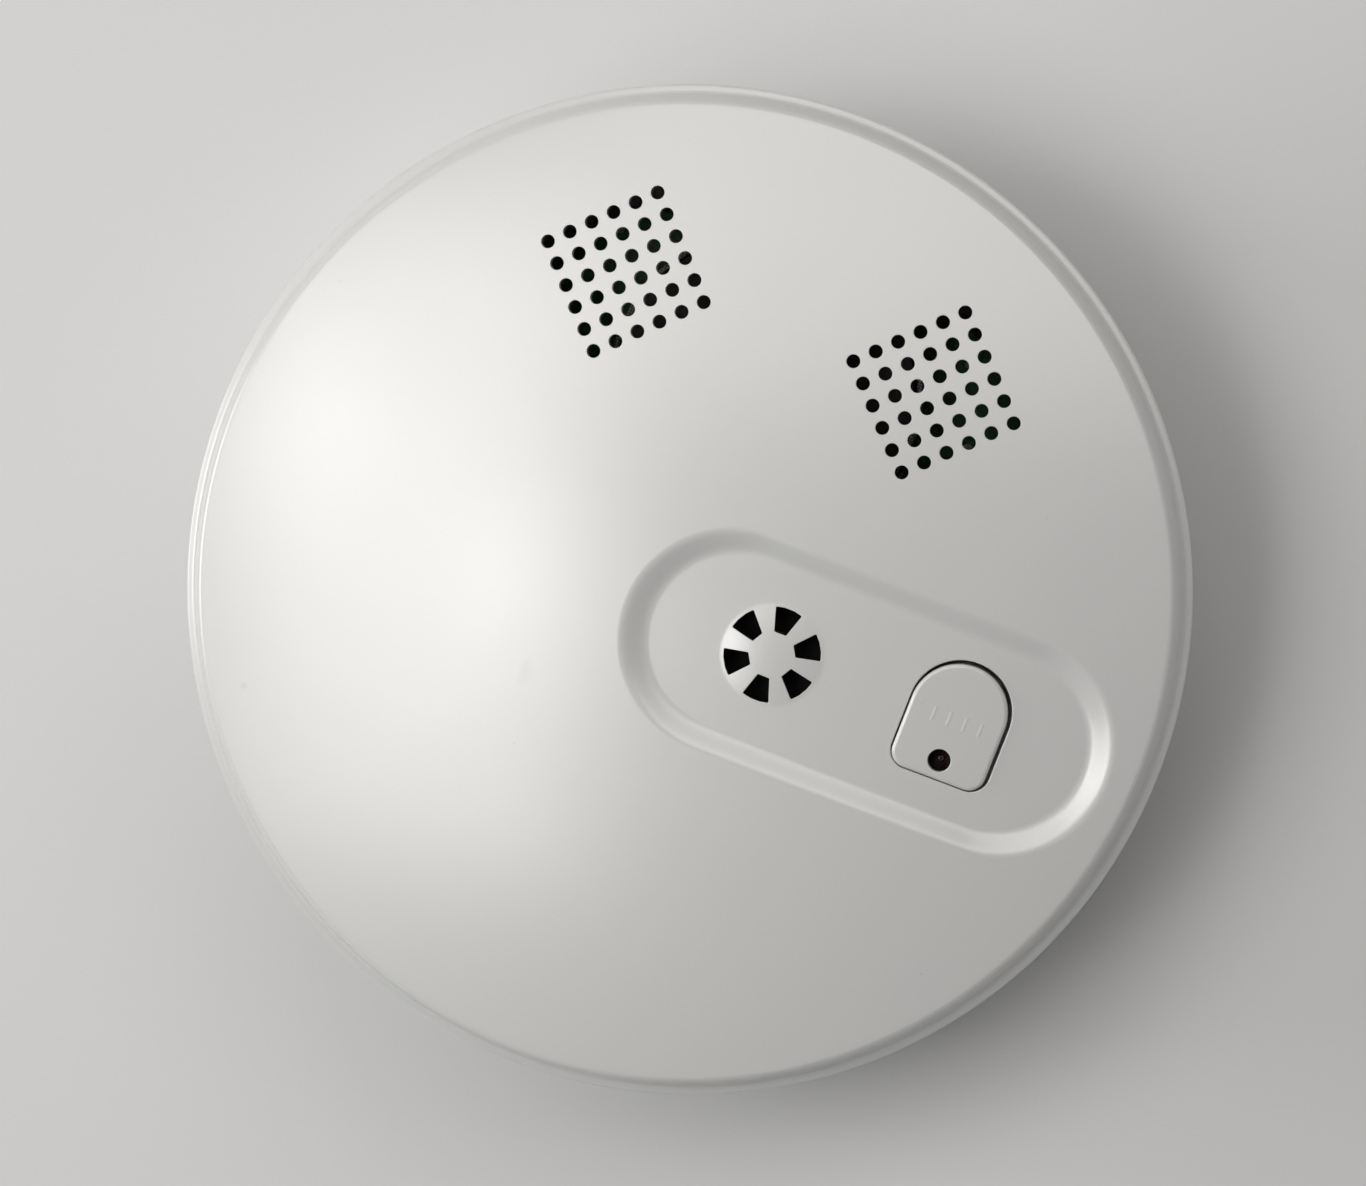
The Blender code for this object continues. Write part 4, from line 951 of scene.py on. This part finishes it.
class Look:
    """A procedural material under construction, in the object's own coordinates."""

    def __init__(self, name, colour, roughness, metallic=0.0):
        self.made = bpy.data.materials.new(name)
        self.made.use_nodes = True
        self.made.diffuse_color = (*colour, 1)
        self.tree = self.made.node_tree
        self.shader = self.tree.nodes["Principled BSDF"]
        self.shader.inputs["Base Color"].default_value = (*colour, 1)
        self.shader.inputs["Roughness"].default_value = roughness
        self.shader.inputs["Metallic"].default_value = metallic
        self.colour = colour
        self.place = self.tree.nodes.new("ShaderNodeTexCoord").outputs["Object"]
        self.paint = None
        self.height = None

    def node(self, kind, inputs=(), **settings):
        made = self.tree.nodes.new("ShaderNode" + kind)
        for name, value in settings.items():
            setattr(made, name, value)
        for name, value in dict(inputs).items():
            if isinstance(value, bpy.types.NodeSocket):
                self.tree.links.new(value, made.inputs[name])
            else:
                made.inputs[name].default_value = value
        return made

    def noise(self, size_mm, detail=2.0, stretch=None):
        """Grey noise with features about size_mm across."""
        place = self.place
        if stretch:
            place = self.node("Mapping", {"Vector": place, "Scale": stretch}).outputs[0]
        inputs = {"Vector": place, "Scale": 1 / (size_mm * MM), "Detail": detail}
        return self.node("TexNoise", inputs).outputs["Fac"]

    def spread(self, value, low, high, to_low=0.0, to_high=1.0):
        inputs = {"Value": value, "From Min": low, "From Max": high}
        inputs.update({"To Min": to_low, "To Max": to_high})
        return self.node("MapRange", inputs).outputs["Result"]

    def math(self, operation, *values):
        return self.node("Math", dict(enumerate(values)), operation=operation).outputs[0]

    def vector(self, operation, *values):
        return self.node("VectorMath", dict(enumerate(values)), operation=operation)

    def times(self, a, b):
        return self.math("MULTIPLY", a, b)

    def plus(self, a, b):
        return self.math("ADD", a, b)

    def tint(self, share, colour):
        """Mixes a colour in by a share socket, over what is there so far."""
        mix = self.node("Mix", {"Factor": share}, data_type="RGBA")
        below, above = mix.inputs[6], mix.inputs[7]
        if self.paint is None:
            below.default_value = (*self.colour, 1)
        else:
            self.tree.links.new(self.paint, below)
        above.default_value = (*colour, 1)
        self.paint = mix.outputs[2]

    def mottle(self, size_mm, detail, low, high, share, colour):
        """Mixes a colour in where the noise is over low, up to a share where it is over high."""
        self.tint(self.spread(self.noise(size_mm, detail), low, high, 0, share), colour)

    def rough(self, value, low, high):
        """Roughness from low to high as the value goes from 0.3 to 0.7."""
        self.tree.links.new(self.spread(value, 0.3, 0.7, low, high), self.shader.inputs["Roughness"])

    def relief(self, value, depth_mm):
        """Adds a bump of that depth."""
        part = self.times(value, depth_mm * MM)
        self.height = part if self.height is None else self.plus(self.height, part)

    def near(self, spot_mm, radius_mm, stretch=(1, 1, 1)):
        """1 at a spot in the object, falling to 0 at the radius."""
        moved = self.vector("SUBTRACT", self.place, tuple(c * MM for c in spot_mm))
        scaled = self.vector("MULTIPLY", moved.outputs[0], stretch)
        away = self.vector("LENGTH", scaled.outputs[0]).outputs["Value"]
        return self.spread(away, 0, radius_mm * MM, 1, 0)

    def specks(self, pitch_mm, size_mm, share):
        """Sparse round specks: one place in each pitch_mm cell, only in some cells."""
        inputs = {"Vector": self.place, "Scale": 1 / (pitch_mm * MM)}
        cells = self.node("TexVoronoi", inputs)
        spot = self.spread(cells.outputs["Distance"], 0, size_mm / pitch_mm, 1, 0)
        split = self.node("SeparateColor", {"Color": cells.outputs["Color"]})
        return self.times(spot, self.math("LESS_THAN", split.outputs[0], share))

    def finish(self):
        if self.paint is not None:
            self.tree.links.new(self.paint, self.shader.inputs["Base Color"])
        if self.height is not None:
            bump = self.node("Bump", {"Height": self.height, "Strength": 1.0, "Distance": 1.0})
            self.tree.links.new(bump.outputs[0], self.shader.inputs["Normal"])
        return self.made


def moulded_white(name, colour, roughness, grain_mm=0.0015, dust=0.5, gloss=0.5):
    """Satin moulded plastic: fine spark-eroded grain, slow tone changes and dust."""
    look = Look(name, colour, roughness)
    warm = tuple(c * f for c, f in zip(colour, (0.99, 0.98, 0.96)))
    cool = tuple(c * f for c, f in zip(colour, (0.975, 0.985, 0.99)))
    look.mottle(38, 3, 0.3, 0.75, 0.5, warm)
    look.mottle(11, 2, 0.4, 0.75, 0.5, cool)
    dirt = look.times(look.specks(2.6, 0.16, 0.10), dust)
    look.tint(dirt, (0.30, 0.27, 0.23))
    look.relief(look.noise(0.45, 2), grain_mm)
    look.relief(look.noise(5, 1), grain_mm)
    look.rough(look.noise(16, 2), roughness - 0.01, roughness + 0.02)
    look.shader.inputs["Specular IOR Level"].default_value = gloss
    look.shader.inputs["Coat Weight"].default_value = gloss * 0.6
    look.shader.inputs["Coat Roughness"].default_value = roughness
    return look


def satin_black(name, roughness=0.5, tone=0.02, gloss=0.5):
    look = Look(name, (tone, tone, tone * 1.08), roughness)
    look.shader.inputs["Specular IOR Level"].default_value = gloss
    grey = (tone * 1.9, tone * 1.8, tone * 1.7)
    look.mottle(4, 4, 0.35, 0.7, 0.7, grey)
    look.relief(look.noise(0.18, 2), 0.006)
    look.rough(look.noise(2.5, 3), roughness - 0.08, roughness + 0.1)
    return look.finish()


def drawn_metal(name, colour, roughness, stretch=(1, 1, 0.06)):
    """Bright metal with fine marks along one direction and a little dulling."""
    look = Look(name, colour, roughness, 1.0)
    marks = look.noise(0.12, 3, stretch)
    dull = tuple(c * 0.72 for c in colour)
    look.mottle(3, 4, 0.42, 0.75, 0.8, dull)
    look.relief(marks, 0.004)
    look.rough(marks, roughness - 0.04, roughness + 0.12)
    return look.finish()


def woven_mesh(name):
    """Fine steel gauze: two crossed sets of wires, with painted shade in the holes between them."""
    look = Look(name, (0.50, 0.50, 0.49), 0.4, 0.9)
    waves = []
    for axis in ("X", "Y", "Z"):
        wave = look.node("TexWave", {"Vector": look.place, "Scale": 1 / MM}, bands_direction=axis)
        waves.append(wave.outputs["Fac"])
    cloth = look.times(look.plus(waves[0], waves[1]), look.plus(waves[2], 0.4))
    # painted shade: the holes between the wires are tinted almost black, standing in for the dark
    # behind the gauze
    look.tint(look.spread(cloth, 0.2, 0.9, 0.9, 0), (0.03, 0.03, 0.03))
    look.relief(cloth, 0.05)
    return look.finish()


def solder_mask(name):
    """Green lacquer over copper, with tinned pads and a woven core underneath."""
    look = Look(name, (0.018, 0.10, 0.04), 0.34)
    inputs = {"Vector": look.place, "Scale": 1 / (5.5 * MM)}
    cells = look.node("TexVoronoi", inputs, feature="DISTANCE_TO_EDGE", distance="CHEBYCHEV")
    copper = look.spread(cells.outputs["Distance"], 0.10, 0.13, 1, 0)
    look.tint(look.times(copper, 0.7), (0.03, 0.19, 0.07))
    pads = look.specks(3.2, 0.7, 0.35)
    sharp = look.spread(pads, 0.05, 0.1)
    look.tint(sharp, (0.62, 0.62, 0.60))
    look.relief(copper, 0.03)
    look.relief(sharp, 0.06)
    look.rough(look.noise(1.2, 3), 0.28, 0.42)
    return look.finish()


def resistor_bands(name):
    """Tan lacquer with four painted rings along the body, whichever way the body lies."""
    look = Look(name, (0.60, 0.46, 0.28), 0.42)
    inputs = {"Vector": look.place, "Scale": 0.16 / MM}
    wave = look.node("TexWave", inputs, bands_direction="DIAGONAL")
    look.tint(look.spread(wave.outputs["Fac"], 0.78, 0.84), (0.35, 0.10, 0.03))
    look.relief(look.noise(0.5, 3), 0.02)
    return look.finish()


def lacquered_jacket(name):
    """Dark lacquer with a plain pale band round one end, and rubbed edges."""
    look = Look(name, (0.055, 0.060, 0.068), 0.3, 0.35)
    x = look.node("SeparateXYZ", {"Vector": look.place}).outputs["X"]
    band = look.times(look.spread(x, 7.5 * MM, 7.6 * MM), look.spread(x, 17.2 * MM, 17.1 * MM))
    look.tint(band, (0.42, 0.43, 0.44))
    crimp = look.plus(
        look.spread(x, 17.4 * MM, 17.6 * MM), look.spread(x, -25.3 * MM, -25.5 * MM)
    )
    look.tint(crimp, (0.60, 0.60, 0.58))
    look.mottle(9, 3, 0.45, 0.75, 0.25, (0.12, 0.12, 0.125))
    look.relief(look.noise(0.5, 3), 0.006)
    look.rough(look.noise(9, 2), 0.30, 0.36)
    return look.finish()


def blank_label(name):
    """Satin paper with a thin printed border and nothing written in it."""
    look = Look(name, (0.70, 0.70, 0.68), 0.48)
    split = look.node("SeparateXYZ", {"Vector": look.place})
    border = {"X": (0.0, 18.8), "Y": (13.0, 9.8)}  # middle and half size
    share = None
    for axis, (centre, half) in border.items():
        away = look.math("ABSOLUTE", look.math("SUBTRACT", split.outputs[axis], centre * MM))
        edge = look.spread(away, (half - 0.02) * MM, (half + 0.02) * MM)
        share = edge if share is None else look.math("MAXIMUM", share, edge)
    look.tint(look.times(share, 0.85), (0.10, 0.11, 0.12))
    look.mottle(6, 4, 0.5, 0.75, 0.35, (0.62, 0.60, 0.55))
    look.relief(look.noise(0.4, 4), 0.008)
    look.rough(look.noise(2, 3), 0.42, 0.58)
    return look.finish()


def enamel(name, colour, roughness, mottle=0.7):
    """A coloured plastic, rubber or lacquer with slow tone changes and a fine surface."""
    look = Look(name, colour, roughness)
    look.mottle(2.5, 4, 0.4, 0.75, 0.8, tuple(c * mottle for c in colour))
    look.relief(look.noise(0.25, 3), 0.008)
    look.rough(look.noise(1.5, 3), roughness - 0.06, roughness + 0.1)
    return look.finish()


def red_epoxy(name):
    """Clear red epoxy, almost black while the light is off."""
    look = Look(name, (0.022, 0.003, 0.003), 0.12)
    look.mottle(1.2, 2, 0.4, 0.7, 0.5, (0.045, 0.005, 0.005))
    return look.finish()


def inner_looks():
    """A material for every CAD node that shows as it was packed."""
    black = satin_black("moulded_black")
    zinc = drawn_metal("zinc_plate", (0.62, 0.62, 0.60), 0.34)
    return {
        # partly painted shade: real black plastic, made far darker and duller than the other black
        # parts so that the grille's slots read as deep shade
        "sounder_housing": satin_black("sounder_black_painted_shade", 0.7, 0.004, 0.1),
        "circuit_board": solder_mask("solder_mask"),
        "insect_screen": woven_mesh("woven_screen"),
        "button_spring": drawn_metal("spring_wire", (0.56, 0.55, 0.53), 0.34, (1, 1, 1)),
        "piezo_plate": drawn_metal("rolled_brass", (0.09, 0.068, 0.035), 0.5, (1, 0.05, 1)),
        "piezo_ceramic": enamel("silvered_ceramic", (0.72, 0.70, 0.64), 0.5, 0.85),
        "infrared_emitter": enamel("tinted_epoxy", (0.05, 0.045, 0.09), 0.14),
        "test_switch_plunger": enamel("cream_nylon", (0.66, 0.64, 0.58), 0.46, 0.88),
        "capacitor": enamel("shrunk_sleeve", (0.03, 0.045, 0.12), 0.36),
        "resistor": resistor_bands("banded_lacquer"),
        "boost_inductor": enamel("ferrite_core", (0.09, 0.085, 0.085), 0.6),
        "battery_lead_red": enamel("red_insulation", (0.42, 0.02, 0.015), 0.42),
        "battery_lead_black": enamel("black_insulation", (0.022, 0.022, 0.024), 0.42, 1.6),
        "battery_terminal": drawn_metal("terminal_plate", (0.66, 0.66, 0.64), 0.33, (0.06, 1, 1)),
        "battery_snap": satin_black("snap_vinyl", 0.42, 0.018),
        "photodiode_shield": zinc,
        "cover_screw": zinc,
        "board_screw": zinc,
        "rating_label": blank_label("blank_label"),
        "": black,
    }


# ---- camera, light and floor


def camera():
    """Above the dome, a little off its axis, turned so that the panel runs down to the right.

    Gives the directions of the picture's right and up."""
    target = Vector((-0.04, -0.11, 24.6))
    tilt, bearing, roll, distance = radians(6.76), radians(46.4), radians(-21.21), 431.8
    back = Vector((sin(tilt) * cos(bearing), sin(tilt) * sin(bearing), cos(tilt)))
    up = Vector((sin(roll), cos(roll), 0))
    right = up.cross(back).normalized()
    up = back.cross(right)
    data = bpy.data.cameras.new("camera")
    data.sensor_width = 36
    data.lens = 104.5
    data.clip_start = 0.01
    data.clip_end = 20
    made = bpy.data.objects.new("camera", data)
    bpy.context.scene.collection.objects.link(made)
    place = (target + back * distance) * MM
    turn = Matrix((right, up, back)).transposed()
    made.matrix_world = Matrix.Translation(place) @ turn.to_4x4()
    bpy.context.scene.camera = made
    return right, up


def floor():
    look = Look("floor_paper", (0.62, 0.62, 0.62), 0.85)
    look.mottle(300, 2, 0.3, 0.7, 0.5, (0.60, 0.60, 0.605))
    skin = Skin()
    ring = skin.loop(circle(FLOOR_RADIUS, 64).points, -FLOOR_GAP)
    skin.cap(ring)
    made = skin.build("floor")
    made.data.materials.append(look.finish())


def area_light(name, place_mm, turn, size_mm, power, colour):
    data = bpy.data.lights.new(name, "AREA")
    data.shape = "RECTANGLE"
    data.size, data.size_y = (s * MM for s in size_mm)
    data.energy = power
    data.color = colour
    made = bpy.data.objects.new(name, data)
    made.matrix_world = Matrix.Translation(place_mm * MM) @ turn.to_matrix().to_4x4()
    bpy.context.scene.collection.objects.link(made)


def lights(right, up):
    """Four soft panels overhead, placed by the picture's right and up, and a weak window.

    A broad panel is over the picture's left and a weaker one over its top. Two lamps brighten
    spots on the left."""
    panels = {
        "left_panel": (-430, 40, (500, 800), 3.5, (1.0, 0.98, 0.965)),
        "top_panel": (230, 520, (840, 720), 1.7, (1.0, 0.955, 0.925)),
        "lamp": (-250, -20, (150, 150), 4.0, (1.0, 1.0, 1.0)),
        "far_lamp": (-590, 155, (240, 240), 2.65, (1.0, 1.0, 1.0)),
    }
    out = Vector((0, 0, 1))
    level = Matrix((right, out.cross(right), out)).transposed().to_euler()
    for name, (across, along, size, radiance, colour) in panels.items():
        centre = right * across + up * along + out * PANEL_HEIGHT
        area = size[0] * size[1] * MM * MM
        area_light(name, centre, level, size, radiance * area * pi, colour)
    window = (up * 0.1 - right).normalized() * 1000 + out * 300
    aim = (Vector(WINDOW_AIM) - window).normalized().to_track_quat("-Z", "Y")
    area_light("window", window, aim, (500, 350), 4.0, (1.0, 0.98, 0.96))
    surroundings()
    bpy.context.scene.view_settings.view_transform = "Standard"


def surroundings():
    """A dim room with paler walls: the light from round the horizon reaches the sides."""
    world = bpy.data.worlds.new("world")
    world.use_nodes = True
    nodes, links = world.node_tree.nodes, world.node_tree.links
    split = nodes.new("ShaderNodeSeparateXYZ")
    links.new(nodes.new("ShaderNodeTexCoord").outputs["Generated"], split.inputs[0])
    fade = nodes.new("ShaderNodeMapRange")
    links.new(split.outputs["Z"], fade.inputs["Value"])
    limits = {"From Min": 0.12, "From Max": 0.34, "To Min": WALL_LIGHT, "To Max": ROOM_LIGHT}
    for name, value in limits.items():
        fade.inputs[name].default_value = value
    background = nodes["Background"]
    background.inputs["Color"].default_value = (0.86, 0.88, 0.90, 1)
    links.new(fade.outputs["Result"], background.inputs["Strength"])
    bpy.context.scene.world = world


# ---- scene


def wear(made, look, body, node):
    """Gives a piece its material and its body, and hides the CAD node that it stands for."""
    made.data.materials.clear()
    made.data.materials.append(look)
    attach(made, body)
    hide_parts(node)


def marked_white():
    """The cover's plastic, with a faint scuff and a brown speck on the dome."""
    white = moulded_white("case_white", FRONT_WHITE, 0.29, gloss=1.0)
    scuff = white.near((-11.9, -13.3, 35.0), 0.9, (1, 0.45, 0.2))
    white.tint(white.times(scuff, 0.35), (0.52, 0.49, 0.45))
    speck = white.near((-40.7, -26.7, 30.0), 0.5, (1, 1, 0.2))
    white.tint(white.times(speck, 0.5), (0.50, 0.42, 0.33))
    return white.finish()


def main():
    right, up = camera()
    floor()
    lights(right, up)
    wear(front_cover(), marked_white(), "detector", "front_cover")
    button_white = moulded_white("button_white", FRONT_WHITE, 0.29, dust=0.3, gloss=1.0)
    wear(test_button(), button_white.finish(), "button", "test_button")
    wear(status_light(), red_epoxy("red_lens"), "detector", "status_led")
    rear_white = moulded_white("rear_white", (0.68, 0.68, 0.665), 0.42, 0.004, 0.8)
    wear(rear_shell(), rear_white.finish(), "detector", "rear_housing")
    bracket_white = moulded_white("bracket_white", (0.66, 0.66, 0.645), 0.5, 0.006, 0.8)
    wear(bracket(), bracket_white.finish(), "bracket", "mounting_bracket")
    jacket = lacquered_jacket("battery_lacquer")
    wear(battery_jacket(), jacket, "detector", "battery_case")
    looks = inner_looks()
    spring = return_spring()
    wear(spring, looks["button_spring"], "detector", "button_spring")
    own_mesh(spring)
    for name, node in NODES.items():
        if not node.hide_render:
            kind = next(key for key in looks if name.startswith(key))
            node.data.materials.clear()
            node.data.materials.append(looks[kind])


main()
